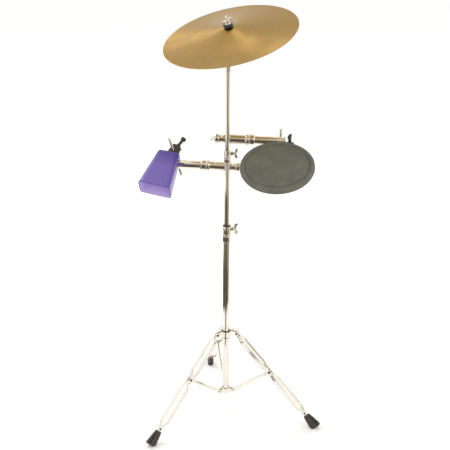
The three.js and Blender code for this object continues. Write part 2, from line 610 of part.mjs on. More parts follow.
/** A rounded rectangle of half sizes x and y, drawn out from Z = 0 down to -length, narrower at the top. */
function taperedBox(top, mouth, length, corner) {
  const [x, y] = mouth;
  const shape = new THREE.Shape();
  shape.moveTo(-x + corner, -y);
  shape.absarc(x - corner, -y + corner, corner, -Math.PI / 2, 0, false);
  shape.absarc(x - corner, y - corner, corner, 0, Math.PI / 2, false);
  shape.absarc(-x + corner, y - corner, corner, Math.PI / 2, Math.PI, false);
  shape.absarc(-x + corner, -y + corner, corner, Math.PI, Math.PI * 1.5, false);
  const solid = new THREE.ExtrudeGeometry(shape, { depth: length, bevelEnabled: false, curveSegments: 4 });
  const spots = solid.getAttribute('position');
  for (let i = 0; i < spots.count; i += 1) {
    const rise = spots.getZ(i) / length;
    spots.setX(i, spots.getX(i) * THREE.MathUtils.lerp(1, top[0] / x, rise));
    spots.setY(i, spots.getY(i) * THREE.MathUtils.lerp(1, top[1] / y, rise));
  }
  return solid.translate(0, 0, -length);
}

/** The bell hangs from its closed end at Z = 0 and opens towards -Z. Its struck face looks to -Y. */
function buildBell(bell, gripSpot, ahead, tubeLine) {
  const { length, wall, topHalf, mouthHalf } = BELL;
  const thinner = ([x, y]) => [x - wall, y - wall];
  const inside = taperedBox(thinner(topHalf), thinner(mouthHalf), length, 7).scale(1, 1, 1.02);
  const shell = cut(taperedBox(topHalf, mouthHalf, length, 9.5), inside.translate(0, 0, -wall));
  piece(bell, 'bell_shell', shell, purple);

  const spot = bell.worldToLocal(gripSpot.clone());
  const rodWay = bell.worldToLocal(ahead.clone()).sub(spot).normalize();
  const screwWay = new THREE.Vector3(0.22, 0.1, 1).normalize();
  const along = (way, distance) => spot.clone().addScaledVector(way, distance).toArray();
  const { width, thickness, height, footBack } = BELL_CLAMP;
  const web = uprightPlate(new THREE.Shape([
    [-width / 2, 1], [width / 2 - 3, 1], [width / 2, height * 0.55], [width / 2 - 2, height * 0.92],
    [3, height], [-width / 2 + 6, height], [-width / 2 - 2, height * 0.55],
  ].map(([x, z]) => new THREE.Vector2(x, z))), thickness, spot.y);
  const foot = block([-width / 2, -footBack, FIT], [width / 2 - 3, spot.y + thickness / 2, 4.5]);
  const rodHole = bar(ROD_RADIUS + FIT + 0.1, along(rodWay, -40), along(rodWay, 40), 12);
  const screwHole = bar(3 + FIT, along(screwWay, 0), along(screwWay, 60));
  const relief = bar(ARM.tubeRadius + 4, ...tubeLine.map((end) => bell.worldToLocal(end).toArray()), TUBE_SIDES);
  const boltSpot = (x) => [x, spot.y, height * 0.8];
  const boltHole = bar(2.5 + FIT, boltSpot(width / 2 - 9), boltSpot(width));
  piece(bell, 'bell_bracket', cut(join(web, foot), rodHole, screwHole, boltHole, relief), blackSteel);
  const side = width / 2 + FIT;
  const bolt = join(bar(2.5, boltSpot(side - 8), boltSpot(side + 1)), bar(4.5, boltSpot(side), boltSpot(side + 4), 6));
  piece(bell, 'bell_bracket_bolt', bolt, chrome);

  const knobFrame = frameAt(spot.toArray(), new THREE.Quaternion().setFromUnitVectors(
    new THREE.Vector3(0, 0, 1), screwWay), bell);
  const stem = (height - spot.z) / screwWay.z + 2;
  piece(knobFrame, 'bell_clamp_knob', clampKnob(ROD_RADIUS + 2.2, stem, 40, 18), blackPlastic);
}

/** A T-shaped knob up +Z from Z = seat, on a screw that starts at Z = screwFrom. */
function clampKnob(screwFrom, seat, height, barWidth) {
  return join(
    bar(3, [0, 0, screwFrom], [0, 0, seat + 1]),
    turned([[0, seat], [6, seat], [6, seat + 3], [4.4, seat + 6], [4.4, seat + height - 2], [0, seat + height - 2]], 12),
    block([-barWidth / 2, -3.6, seat + height - 10], [barWidth / 2, 3.6, seat + height]),
  );
}

// ---------------------------------------------------------------- assembly

buildBase();
buildMiddleTube();
buildTopRod();
buildLegCollar();
buildHub();
buildLegs();
buildTilter();
buildPadSide();
buildBellSide();

export default root;
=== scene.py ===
"""Looks for the stand with a cymbal, a practice pad and a cowbell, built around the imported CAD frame.

Shapes are drawn in millimetres in a local frame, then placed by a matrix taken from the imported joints.
"""
import json
import math

import bmesh
import bpy
from mathutils import Matrix, Vector, noise


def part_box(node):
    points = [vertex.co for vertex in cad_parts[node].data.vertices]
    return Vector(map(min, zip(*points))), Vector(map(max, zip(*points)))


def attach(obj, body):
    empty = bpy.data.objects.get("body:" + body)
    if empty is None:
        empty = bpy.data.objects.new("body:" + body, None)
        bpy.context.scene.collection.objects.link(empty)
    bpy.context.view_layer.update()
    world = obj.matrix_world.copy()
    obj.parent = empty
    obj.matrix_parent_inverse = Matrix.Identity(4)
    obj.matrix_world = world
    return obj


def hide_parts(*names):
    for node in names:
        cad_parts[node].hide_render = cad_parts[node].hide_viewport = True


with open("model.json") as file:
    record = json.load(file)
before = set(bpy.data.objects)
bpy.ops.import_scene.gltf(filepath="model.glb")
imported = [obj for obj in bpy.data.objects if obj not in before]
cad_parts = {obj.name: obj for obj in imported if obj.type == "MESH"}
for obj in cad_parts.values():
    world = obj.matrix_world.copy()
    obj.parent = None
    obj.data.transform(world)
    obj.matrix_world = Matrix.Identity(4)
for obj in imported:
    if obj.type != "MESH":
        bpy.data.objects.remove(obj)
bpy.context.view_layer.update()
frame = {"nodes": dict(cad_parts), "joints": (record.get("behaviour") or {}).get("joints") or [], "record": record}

MM = 0.001
UP = Vector((0, 0, 1))
JOINTS = {joint["name"]: joint for joint in frame["joints"]}
MOUNTS = {mount["name"]: mount for mount in frame["record"]["mounts"]}
SIDES = ("rear", "right", "left")
FIT = 0.35  # the gap between pieces that touch, as in the CAD

# ---------------- driving dimensions, as in the CAD, in mm

BASE_TUBE = {"radius": 12.7, "wall": 1.3}
MIDDLE_TUBE = {"radius": 9.525, "wall": 1.2}
TOP_ROD = {"radius": 7.95, "wall": 1.6}
LEG = {
    "angle": 43.1, "joint": 183, "end": 432, "height": 14.5, "thickness": 2.5, "half_spread": 14,
    "top": -7.4, "head": 12, "bulge": 34, "waist": 13, "taper": (352, 378), "foot_rivet": 382,
}
RIVET_RADIUS = 2.5
THREAD_PITCH = 1.25
EAR = {"round": 8, "thickness": 2}
COLLAR = {"bottom": 308, "top": 336, "radius": 17.5, "boss_end": 36}
HUB = {"radius": 17, "bottom": 80, "top": 101}
BRACE = {"width": 7, "height": 13, "wall": 1.4, "overhang": 7}
BOOT = {"start": 390, "length": 55, "neck": (6.5, 11.5), "sole": (10.8, 20), "ribs": 22}
LOWER_CLAMP = {
    "bottom": 684, "top": 740, "radius": 14.6, "neck": 11.2, "boss": (8, 24), "bolt": 729, "bush": 700,
}
UPPER_CLAMP = {"bottom": 968, "top": 1007, "radius": 11.6, "neck": 7.95, "boss": (7, 22), "bolt": 998}
TILTER = {"radius": 13, "offset": 12.4, "teeth": 30}
CYMBAL = {"radius": 218, "rise": 31, "thickness": 1.2, "hole": 6.5, "post": 45}
WASHER = {"radius": 16, "hole": 4.6, "height": 9, "edge": 1.6}
ARM = {
    "offset": 13, "sleeve": 16.5, "tube": 15.2, "wall": 2, "tube_start": 37, "sleeve_end": 72,
    "ring_start": 59, "ring_end": 90, "ring": 19.7, "cap_start": -43, "cap_end": -30, "eye_reach": 38,
}
REACH = {"upper": 192, "lower": 187}
ROD_RADIUS = 4.3
ROD_DOME = ((0.9, 0.8), (1.6, 0.45))  # the rounding of a rod's end, as (rise in mm, share of the radius)
PAD_ROD = {"above": 34, "below": 28, "leg": 54, "bend": 12}
PAD = {"radius": 118.5, "play": 101.6, "rubber": 14, "base": 19, "mount_offset": 20}
PAD_KNOB = {"height": 34, "bar": 20}
BELL_ROD = {"above": 88, "below": 50}
BELL_KNOB = {"height": 40, "bar": 18}
BELL = {
    "at": (-192, 15, 988.5), "yaw": -20.2, "pitch": -56, "roll": 8.5, "length": 150, "wall": 3,
    "top": (37.5, 19), "mouth": (54, 29.5), "corner": 9.5,
}

# ---------------- the studio, in metres and degrees

CAMERA = {"at": (-0.006, -2.788, 1.858), "pitch": 21.8, "roll": 0.42, "lens": 70.32, "sensor": 36}
# What the chrome reflects: a room that is dim behind the camera, as colours of light.
ROOM = {
    "behind": (1.0, 0.98, 0.93), "sides": (0.42, 0.36, 0.27), "window": (1.05, 1.0, 0.9),
    "right": (0.66, 0.58, 0.45), "dim": (0.075, 0.062, 0.042), "dim_above": (0.42, 0.35, 0.23),
    "above": (0.95, 0.9, 0.8),
}
# The floor beyond the paper, as (name, inner radius, outer radius, first angle, last angle, colour).
FLOOR_PATCHES = (
    ("inner_front", 0.42, 0.85, -24, 8, (0.16, 0.13, 0.10)),
    ("near_front", 0.85, 1.8, -14, 38, (0.085, 0.068, 0.05)),
    ("near_seam", 0.85, 1.8, -23, -14, (0.30, 0.26, 0.20)),
    ("near_front_left", 0.85, 1.8, -60, -23, (0.085, 0.068, 0.05)),
    ("near_left", 0.85, 1.8, -125, -60, (0.13, 0.09, 0.065)),
    ("near_right", 0.95, 1.8, 38, 80, (0.34, 0.28, 0.21)),
    ("middle_front", 1.8, 3.0, -28, 6, (0.075, 0.062, 0.046)),
    ("middle_left", 1.8, 3.0, -100, -28, (0.20, 0.165, 0.12)),
    ("middle_right", 1.8, 3.0, 6, 80, (0.32, 0.27, 0.20)),
    ("far_front", 3.0, 7.9, -24, 5, (0.075, 0.062, 0.046)),
    ("far_left", 3.0, 7.9, -36, -24, (0.50, 0.44, 0.34)),
    ("far_right", 3.0, 7.9, 5, 75, (0.55, 0.48, 0.36)),
)

# ---------------- frames


def place_at(name):
    """Where a joint is, in mm."""
    return Vector(JOINTS[name]["pos_m"]) / MM


def axis_of(name):
    return Vector(JOINTS[name]["axis"]).normalized()


def frame_from(origin, along_x, along_z):
    """A matrix with these directions as X and Z. X is made square to Z."""
    z = along_z.normalized()
    x = (along_x - z * along_x.dot(z)).normalized()
    y = z.cross(x)
    columns = Matrix((x, y, z)).transposed().to_4x4()
    return Matrix.Translation(origin) @ columns


def shift(x, y, z):
    return Matrix.Translation((x, y, z))


def spin(angle, axis):
    return Matrix.Rotation(math.radians(angle), 4, axis)


Z_TO_X = Matrix.Rotation(math.pi / 2, 4, "Y")
Z_TO_Y = Matrix.Rotation(-math.pi / 2, 4, "X")

# ---------------- drawing shapes


def new_object(name, data):
    made = bpy.data.objects.new(name, data)
    bpy.context.scene.collection.objects.link(made)
    return made


def is_ring(line):
    return (Vector(line[0]) - Vector(line[-1])).length < 1e-6


def bend(start, corner, end, t):
    """A point along a short curve that leaves start towards the corner and arrives at the end."""
    return start * (1 - t) ** 2 + corner * 2 * t * (1 - t) + end * t * t


def rounded(points, radius, steps=3):
    """The same line of points with its corners turned into short curves."""
    points = [Vector(point) for point in points]
    closed = is_ring(points)
    if closed:
        points.pop()
    result = []
    count = len(points)
    for i, corner in enumerate(points):
        if not closed and i in (0, count - 1):
            result.append(corner)
            continue
        before = points[i - 1] - corner
        after = points[(i + 1) % count] - corner
        reach = min(radius, before.length * 0.45, after.length * 0.45)
        start = corner + before.normalized() * reach
        end = corner + after.normalized() * reach
        for step in range(steps + 1):
            t = step / steps
            result.append(bend(start, corner, end, t))
    if closed:
        result.append(result[0].copy())
    return result


def loft(rings, closed=False):
    """A skin over rings of points. A ring of one point is a tip."""
    shape = bmesh.new()
    loops = [[shape.verts.new(point) for point in ring] for ring in rings]
    if closed:
        loops.append(loops[0])
    for low, high in zip(loops, loops[1:]):
        count = max(len(low), len(high))
        for i in range(count):
            j = (i + 1) % count
            corners = [low[i % len(low)], low[j % len(low)], high[j % len(high)], high[i % len(high)]]
            unique = list(dict.fromkeys(corners))
            if len(unique) > 2:
                shape.faces.new(unique)
    if not closed:
        for loop in (loops[0], loops[-1]):
            if len(loop) > 2:
                shape.faces.new(loop)
    bmesh.ops.recalc_face_normals(shape, faces=shape.faces)
    return shape


def lathe(profile, segments=72):
    """A body turned about Z from [radius, height] points. A profile that ends where it starts is a ring."""
    closed = is_ring(profile)
    points = profile[:-1] if closed else profile
    rings = []
    for radius, height in points:
        if radius < 1e-6:
            rings.append([Vector((0, 0, height))])
            continue
        rings.append([Vector((x, y, height)) for x, y in circle(radius, segments)])
    return loft(rings, closed)


def turned(profile, edge=0.5, segments=72):
    """A lathe body with softened edges."""
    return lathe([tuple(point) for point in rounded(profile, edge)], segments)


def pipe(outer, inner, bottom, top, edge=0.4, segments=72):
    profile = [(inner, bottom), (outer, bottom), (outer, top), (inner, top), (inner, bottom)]
    return turned(profile, edge, segments)


def rod(radius, start, end, edge=0.5, segments=32):
    """A round bar between two points."""
    start, end = Vector(start), Vector(end)
    length = (end - start).length
    shape = turned([(0, 0), (radius, 0), (radius, length), (0, length)], edge, segments)
    shape.transform(Matrix.Translation(start) @ (end - start).to_track_quat("Z", "Y").to_matrix().to_4x4())
    return shape


def box_shape(low, high, edge=0.8):
    """A box with rounded upright edges."""
    low, high = Vector(low), Vector(high)
    half = (high - low) / 2
    ring = rounded_rectangle(half.x, half.y, min(edge, half.x * 0.9, half.y * 0.9), 3)
    rings = [[Vector((x, y, z)) for x, y in ring] for z in (-half.z, half.z)]
    shape = loft(rings)
    shape.transform(Matrix.Translation((low + high) / 2))
    return shape


def rounded_rectangle(half_x, half_y, corner, per_corner=6):
    """Points round a rectangle with rounded corners, as (x, y)."""
    points = []
    for quarter, (sx, sy) in enumerate(((1, 1), (-1, 1), (-1, -1), (1, -1))):
        for step in range(per_corner + 1):
            angle = (quarter + step / per_corner) * math.pi / 2
            x = sx * (half_x - corner) + corner * math.cos(angle)
            y = sy * (half_y - corner) + corner * math.sin(angle)
            points.append((x, y))
    return points


def plate(outline, thickness, middle=0):
    """A flat plate drawn in X and Z, centred on Y = middle."""
    rings = [[Vector((x, middle + side * thickness / 2, z)) for x, z in outline] for side in (-1, 1)]
    return loft(rings)


def swept(path, section, binormal):
    """Rings for a closed section of (across, binormal) points carried along a flat path."""
    rings = []
    for i, point in enumerate(path):
        ahead = path[min(i + 1, len(path) - 1)] - path[max(i - 1, 0)]
        across = binormal.cross(ahead.normalized()).normalized()
        rings.append([point + across * u + binormal * v for u, v in section])
    return rings


def circle(radius, segments=32):
    angles = [2 * math.pi * i / segments for i in range(segments)]
    return [(radius * math.cos(angle), radius * math.sin(angle)) for angle in angles]


def together(*shapes):
    """Several shapes in one, still as separate skins."""
    whole = bmesh.new()
    for shape in shapes:
        carrier = bpy.data.meshes.new("carrier")
        shape.to_mesh(carrier)
        whole.from_mesh(carrier)
        bpy.data.meshes.remove(carrier)
        shape.free()
    return whole


def moved(shape, matrix):
    shape.transform(matrix)
    return shape


def with_modifiers(shape, *settings):
    """The shape after a row of modifiers, each given as (type, {property: value})."""
    mesh = bpy.data.meshes.new("work")
    shape.to_mesh(mesh)
    shape.free()
    work = new_object("work", mesh)
    for kind, values in settings:
        modifier = work.modifiers.new(kind.lower(), kind)
        for key, value in values.items():
            setattr(modifier, key, value)
    graph = bpy.context.evaluated_depsgraph_get()
    result = bmesh.new()
    result.from_mesh(work.evaluated_get(graph).to_mesh())
    bpy.data.objects.remove(work)
    return result


def fused(*shapes, voxel=0.5, smoothing=4):
    """Melts overlapping skins into one cast body with soft edges. The voxel size is in mm."""
    return with_modifiers(
        together(*shapes),
        ("REMESH", {"mode": "VOXEL", "voxel_size": voxel, "use_smooth_shade": True}),
        ("SMOOTH", {"factor": 0.5, "iterations": smoothing}),
        ("DECIMATE", {"ratio": 0.4}),
    )


def carved(shape, *cutters):
    """The shape with the cutters taken away."""
    for cutter in cutters:
        mesh = bpy.data.meshes.new("cutter")
        cutter.to_mesh(mesh)
        cutter.free()
        tool = new_object("cutter", mesh)
        settings = {"operation": "DIFFERENCE", "solver": "EXACT", "object": tool}
        shape = with_modifiers(shape, ("BOOLEAN", settings))
        bpy.data.objects.remove(tool)
    return shape


def add_piece(name, shape, matrix, body, slot, replaces=None, sharp=35, materials=None):
    """Turns a shape in mm into an object in metres, in its own local frame, and rides it on a body."""
    mesh = bpy.data.meshes.new(name)
    bmesh.ops.recalc_face_normals(shape, faces=shape.faces)
    shape.to_mesh(mesh)
    shape.free()
    mesh.transform(Matrix.Scale(MM, 4))
    mesh.shade_smooth()
    mesh.set_sharp_from_angle(angle=math.radians(sharp))
    for material in materials or [FINISHES[slot]]:
        mesh.materials.append(material)
    piece = new_object(name, mesh)
    turn = matrix.to_quaternion().to_matrix().to_4x4()
    piece.matrix_world = Matrix.Translation(matrix.translation * MM) @ turn
    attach(piece, body)
    if replaces:
        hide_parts(replaces)
    return piece


# ---------------- materials


class Shading:
    """A node material, with the nodes that finishes and the room share."""

    def __init__(self, name):
        self.material = bpy.data.materials.new(name)
        self.material.use_nodes = True
        self.nodes = self.material.node_tree.nodes
        self.links = self.material.node_tree.links

    def join(self, value, socket):
        """Sets a socket to a number or a colour, or links it to another node."""
        if isinstance(value, (int, float)):
            socket.default_value = value
        elif isinstance(value, tuple):
            socket.default_value = (*value, 1)
        else:
            self.links.new(value, socket)

    def mixed(self, first, second, factor):
        mix = self.nodes.new("ShaderNodeMix")
        mix.data_type = "RGBA"
        self.join(first, mix.inputs[6])
        self.join(second, mix.inputs[7])
        self.join(factor, mix.inputs[0])
        return mix.outputs[2]

    def spread(self, value, low, high, smooth=True):
        """From 0 where the value is low to 1 where it is high."""
        node = self.nodes.new("ShaderNodeMapRange")
        node.interpolation_type = "SMOOTHSTEP" if smooth else "LINEAR"
        node.inputs["From Min"].default_value = low
        node.inputs["From Max"].default_value = high
        self.links.new(value, node.inputs["Value"])
        return node.outputs["Result"]

    def axes(self, vector):
        """The X, Y and Z of a vector."""
        split = self.nodes.new("ShaderNodeSeparateXYZ")
        self.links.new(vector, split.inputs["Vector"])
        return split.outputs


class Finish(Shading):
    """A Principled material with helpers for procedural detail."""

    def __init__(self, name, color, roughness, metallic=0.0, **constants):
        super().__init__(name)
        self.shader = self.nodes["Principled BSDF"]
        self.shader.inputs["Base Color"].default_value = (*color, 1)
        self.shader.inputs["Roughness"].default_value = roughness
        self.shader.inputs["Metallic"].default_value = metallic
        for key, value in constants.items():
            self.shader.inputs[key.replace("_", " ")].default_value = value
        self.place = self.nodes.new("ShaderNodeTexCoord").outputs["Object"]
        self.normal = None

    def stretched(self, scale):
        """Object coordinates stretched by a factor along each axis."""
        mapping = self.nodes.new("ShaderNodeMapping")
        mapping.inputs["Scale"].default_value = scale
        self.links.new(self.place, mapping.inputs["Vector"])
        return mapping.outputs["Vector"]

    def noise(self, scale, detail=4, stretch=(1, 1, 1), distortion=0.0):
        texture = self.nodes.new("ShaderNodeTexNoise")
        texture.inputs["Scale"].default_value = scale
        texture.inputs["Detail"].default_value = detail
        texture.inputs["Distortion"].default_value = distortion
        self.links.new(self.stretched(stretch), texture.inputs["Vector"])
        return texture.outputs["Fac"]

    def cells(self, scale):
        texture = self.nodes.new("ShaderNodeTexVoronoi")
        texture.inputs["Scale"].default_value = scale
        self.links.new(self.place, texture.inputs["Vector"])
        return texture.outputs["Distance"]

    def rings(self, scale, distortion=0.4):
        """Fine circles about the local Z axis."""
        texture = self.nodes.new("ShaderNodeTexWave")
        texture.wave_type = "RINGS"
        texture.rings_direction = "Z"
        texture.inputs["Scale"].default_value = scale
        texture.inputs["Distortion"].default_value = distortion
        texture.inputs["Detail"].default_value = 3
        texture.inputs["Detail Scale"].default_value = 0.6
        self.links.new(self.place, texture.inputs["Vector"])
        return texture.outputs["Fac"]

    def ramp(self, value, stops):
        """Colours or greys along a value. Stops are (position, colour)."""
        ramp = self.nodes.new("ShaderNodeValToRGB")
        elements = ramp.color_ramp.elements
        while len(elements) < len(stops):
            elements.new(0.5)
        for element, (position, color) in zip(elements, stops):
            element.position = position
            element.color = (*color, 1) if isinstance(color, (tuple, list)) else (color, color, color, 1)
        self.links.new(value, ramp.inputs["Fac"])
        return ramp.outputs["Color"]

    def worn_edges(self, stops):
        """White where the surface is convex: worn edges on the dark finishes, painted shade along the bell's
        edges.
        """
        return self.ramp(self.nodes.new("ShaderNodeNewGeometry").outputs["Pointiness"], stops)

    def color(self, value):
        self.links.new(value, self.shader.inputs["Base Color"])

    def roughness(self, value, low, high):
        ramp = self.ramp(value, [(0.3, low), (0.7, high)])
        self.links.new(ramp, self.shader.inputs["Roughness"])

    def bump(self, value, height, strength=1.0):
        """Adds a bump whose full height is given in mm."""
        bump = self.nodes.new("ShaderNodeBump")
        bump.inputs["Distance"].default_value = height * MM
        bump.inputs["Strength"].default_value = strength
        self.links.new(value, bump.inputs["Height"])
        if self.normal is not None:
            self.links.new(self.normal, bump.inputs["Normal"])
        self.normal = bump.outputs["Normal"]
        self.links.new(self.normal, self.shader.inputs["Normal"])


def chrome_finish(name, color, low, high):
    """Bright plating with faint haze, fine polishing lines and a little grime."""
    finish = Finish(name, color, low, 1.0)
    haze = finish.noise(14, 3)
    grime = finish.noise(60, 6)
    tint = finish.ramp(grime, [(0.25, tuple(c * 0.86 for c in color)), (0.6, color)])
    finish.color(finish.mixed(tint, tuple(min(1, c * 1.04) for c in color), haze))
    finish.roughness(haze, low, high)
    finish.bump(finish.noise(900, 2, (1, 1, 0.03)), 0.004, 0.5)
    finish.bump(finish.noise(30, 2), 0.05, 0.5)
    return finish.material


def dark_finish(name, color, low, high, grain, height, metallic=0.0):
    """A dark moulded or cast surface: grain in the bump, rubbed lighter on its edges."""
    finish = Finish(name, color, low, metallic)
    patches = finish.noise(40, 5)
    lighter = tuple(min(1, c * 1.9 + 0.012) for c in color)
    base = finish.ramp(patches, [(0.3, tuple(c * 0.75 for c in color)), (0.7, tuple(c * 1.2 for c in color))])
    edges = finish.worn_edges([(0.52, 0.0), (0.62, 0.7)])
    finish.color(finish.mixed(base, lighter, edges))
    finish.roughness(patches, low, high)
    finish.bump(finish.noise(grain, 4), height, 0.7)
    return finish.material


def cymbal_finish():
    """Lathed bronze: fine circles, tonal grooves and soft hammer marks."""
    finish = Finish("bronze", (0.47, 0.31, 0.115), 0.28, 1.0, Anisotropic=0.8)
    grooves = finish.rings(230)
    bands = finish.rings(18, 2.0)
    stain = finish.noise(9, 5, distortion=0.8)
    base = finish.ramp(stain, [
        (0.25, (0.37, 0.232, 0.072)), (0.5, (0.42, 0.268, 0.086)), (0.8, (0.46, 0.30, 0.10)),
    ])
    finish.color(finish.mixed(base, (0.47, 0.32, 0.12), finish.ramp(bands, [(0.4, 0.0), (1.0, 0.12)])))
    finish.roughness(stain, 0.27, 0.38)
    finish.bump(finish.noise(38, 2), 0.35, 0.5)
    finish.bump(grooves, 0.03, 0.5)
    tangent = finish.nodes.new("ShaderNodeTangent")
    tangent.direction_type = "RADIAL"
    tangent.axis = "Z"
    finish.links.new(tangent.outputs["Tangent"], finish.shader.inputs["Tangent"])
    return finish.material


def rubber_finish():
    """The pad's matte grey rubber, with a fine pebble grain and faint stick marks."""
    finish = Finish("pad_rubber", (0.125, 0.13, 0.098), 0.85, Specular_IOR_Level=0.3)
    patches = finish.noise(22, 6, distortion=0.5)
    base = finish.ramp(patches, [
        (0.3, (0.105, 0.109, 0.082)), (0.55, (0.128, 0.132, 0.1)), (0.8, (0.155, 0.16, 0.124)),
    ])
    marks = finish.ramp(finish.noise(55, 2, (1, 6, 1)), [(0.6, 0.0), (0.78, 0.35)])
    finish.color(finish.mixed(base, (0.2, 0.2, 0.16), marks))
    finish.roughness(patches, 0.72, 0.92)
    finish.bump(finish.cells(900), 0.12, 0.5)
    finish.bump(finish.noise(120, 4), 0.1, 0.4)
    return finish.material


def felt_finish():
    """Pressed wool felt: loose fibres in every direction."""
    finish = Finish("felt", (0.018, 0.016, 0.014), 0.95, Sheen_Weight=0.35, Sheen_Roughness=0.5)
    fibres = finish.noise(700, 6, (1, 1, 3), 2.0)
    finish.color(finish.ramp(fibres, [(0.3, (0.01, 0.009, 0.008)), (0.75, (0.05, 0.046, 0.04))]))
    finish.bump(fibres, 0.35, 0.8)
    return finish.material


def bell_finish(name, top, mouth, **constants):
    """Tinted moulded plastic, with painted shade that deepens its colour towards the closed top and darkens its
    edges, and with fine scuffs.
    """
    finish = Finish(name, mouth, 0.22, IOR=1.49, Coat_Weight=0.3, **constants)
    along = finish.axes(finish.place)["Z"]
    height = finish.spread(along, -BELL["length"] * MM, 0, smooth=False)
    # Painted shade: the colour runs from the mouth's colour to the darker top colour towards the closed top, where
    # the bracket shades the moulding.
    painted_shade_tone = finish.ramp(height, [(0.0, mouth), (0.55, mouth), (0.9, top)])
    flow = finish.ramp(finish.noise(12, 3), [(0.3, 0.0), (0.8, 0.12)])
    shade = finish.mixed(painted_shade_tone, tuple(min(1, c * 1.3) for c in mouth), flow)
    # Painted shade: the convex edges are darkened to half the top colour, a painted dark outline.
    edges = finish.worn_edges([(0.51, 0.0), (0.6, 0.55)])
    finish.color(finish.mixed(shade, tuple(c * 0.5 for c in top), edges))
    finish.roughness(finish.noise(60, 3), 0.2, 0.28)
    finish.bump(finish.noise(26, 2), 0.05, 0.3)
    return finish.material


FINISHES = {
    "chrome": chrome_finish("chrome", (0.86, 0.83, 0.76), 0.07, 0.14),
    "black_steel": dark_finish("black_steel", (0.022, 0.019, 0.015), 0.34, 0.5, 500, 0.05, 0.3),
    "black_plastic": dark_finish("black_plastic", (0.030, 0.025, 0.021), 0.42, 0.58, 800, 0.04),
    "foot_rubber": dark_finish("foot_rubber", (0.034, 0.031, 0.019), 0.45, 0.65, 420, 0.05),
    "pad_board": dark_finish("pad_board", (0.045, 0.042, 0.036), 0.6, 0.8, 300, 0.08),
    "pad_rubber": rubber_finish(),
    "felt": felt_finish(),
    "bronze": cymbal_finish(),
    # The bell's first colour is the deeper painted shade at its closed top; the second is its mouth's colour.
    "bell_plastic": bell_finish("bell_plastic", (0.055, 0.028, 0.235), (0.122, 0.082, 0.345)),
}
SATIN = chrome_finish("satin_chrome", (0.64, 0.58, 0.49), 0.2, 0.3)
# Painted light: the inside is a lighter copy of the bell plastic with a faint lilac glow, standing for light that
# shines through the wall.
BELL_INSIDE_PAINTED_LIGHT = bell_finish(
    "bell_plastic_inside_painted_light", (0.36, 0.27, 0.60), (0.56, 0.44, 0.76),
    Emission_Strength=0.07, Emission_Color=(0.56, 0.46, 0.82, 1),
)

# ---------------- wing bolts, knobs and rivets


def wing_leaf(root, tip, start_width, tip_width, thick):
    """One leaf of a wing bolt in the XZ plane, swelling towards a round tip."""
    root, tip = Vector(root), Vector(tip)
    way = (tip - root).normalized()
    across = Vector((-way.z, 0, way.x))
    straight = (tip - root).length
    section = circle(1, 20)
    steps = 18
    too_thin = 0.05
    rings = []
    for step in range(steps + 1):
        distance = (straight + tip_width) * math.sin(step / steps * math.pi / 2)
        swell = min(1.0, distance / straight)
        left = max(0.0, (distance - straight) / tip_width)
        width = start_width + (tip_width - start_width) * swell * swell * (3 - 2 * swell)
        width *= math.sqrt(max(0.0, 1 - left * left))
        depth = (thick[0] + (thick[1] - thick[0]) * swell) * math.sqrt(max(0.0, 1 - left ** 4))
        if min(width, depth) >= too_thin:
            middle = root + way * distance
            rings.append([middle + across * (u * width) + Vector((0, v * depth, 0)) for u, v in section])
    return loft(rings)


def wing_bolt(shaft, hub_radius=5.5, hub=10, span=42, tip=7, shaft_radius=3):
    """A cast wing bolt along +X, with its seat at X = 0 and a threaded shaft back to -shaft."""
    crown = moved(turned([
        (0, 0), (hub_radius, 0), (hub_radius, 2), (hub_radius * 0.86, 3),
        (hub_radius * 0.8, hub * 0.75), (hub_radius * 0.5, hub), (0, hub),
    ], 1.4, 32), Z_TO_X)
    leaves = []
    for side in (-1, 1):
        root = (4.5, 0, side * hub_radius * 0.3)
        leaves.append(wing_leaf(root, (hub - 1, 0, side * (span / 2 - tip)), 4.6, tip, (2.8, 2.1)))
    cast = fused(crown, *leaves, voxel=0.42, smoothing=5)
    screw = moved(thread(shaft_radius, shaft + 1), shift(-shaft, 0, 0) @ Z_TO_X)
    return together(cast, screw)


def add_wing(name, bolt, matrix):
    add_piece(name + "_wing", bolt, matrix, name + "_bolt", "chrome", name + "_wing_bolt")


def thread(radius, length):
    """A screw thread up +Z, drawn as close rings."""
    profile = [(0, 0), (radius - 0.5, 0)]
    turns = int(length / THREAD_PITCH)
    for i in range(turns):
        profile.append((radius, (i + 0.25) * length / turns))
        profile.append((radius - 0.45, (i + 0.75) * length / turns))
    profile += [(radius - 0.5, length), (0, length)]
    return lathe(profile, 24)


def clamp_knob(screw_from, seat, height, bar_width):
    """A moulded T-shaped knob up +Z on a threaded screw."""
    collar = turned([
        (0, seat), (6.4, seat), (6.4, seat + 3), (5.2, seat + 6.5), (5.4, seat + height - 6),
        (0, seat + height - 4),
    ], 1.2, 32)
    bar = rounded_rectangle(bar_width / 2, 4.4, 3.8, 6)
    grip = []
    for drop, size in ((15, 0.6), (12, 0.84), (9, 1.0), (3, 1.0), (1.2, 0.94), (0, 0.76)):
        grip.append([Vector((x * size, y * size, seat + height - drop)) for x, y in bar])
    cast = fused(collar, loft(grip), voxel=0.4)
    screw = moved(thread(3, seat + 1 - screw_from), shift(0, 0, screw_from))
    return together(cast, screw)


def add_knob(name, body, node, joint, size, side=None, twist=0):
    """A T knob as long as its CAD node. Its bar points to one side, or along the CAD bar."""
    way, origin = axis_of(joint), place_at(joint)
    spots = [Vector(vert.co) / MM - origin for vert in frame["nodes"][node].data.vertices]
    low = min(way.dot(spot) for spot in spots)
    high = max(way.dot(spot) for spot in spots)
    if side is None:
        side = max(spots, key=lambda spot: (spot - way * way.dot(spot)).length)
    knob = clamp_knob(low, high - size["height"], size["height"], size["bar"])
    matrix = frame_from(origin, side, way) @ spin(twist, "Z")
    add_piece(name, knob, matrix, body, "black_plastic", node)


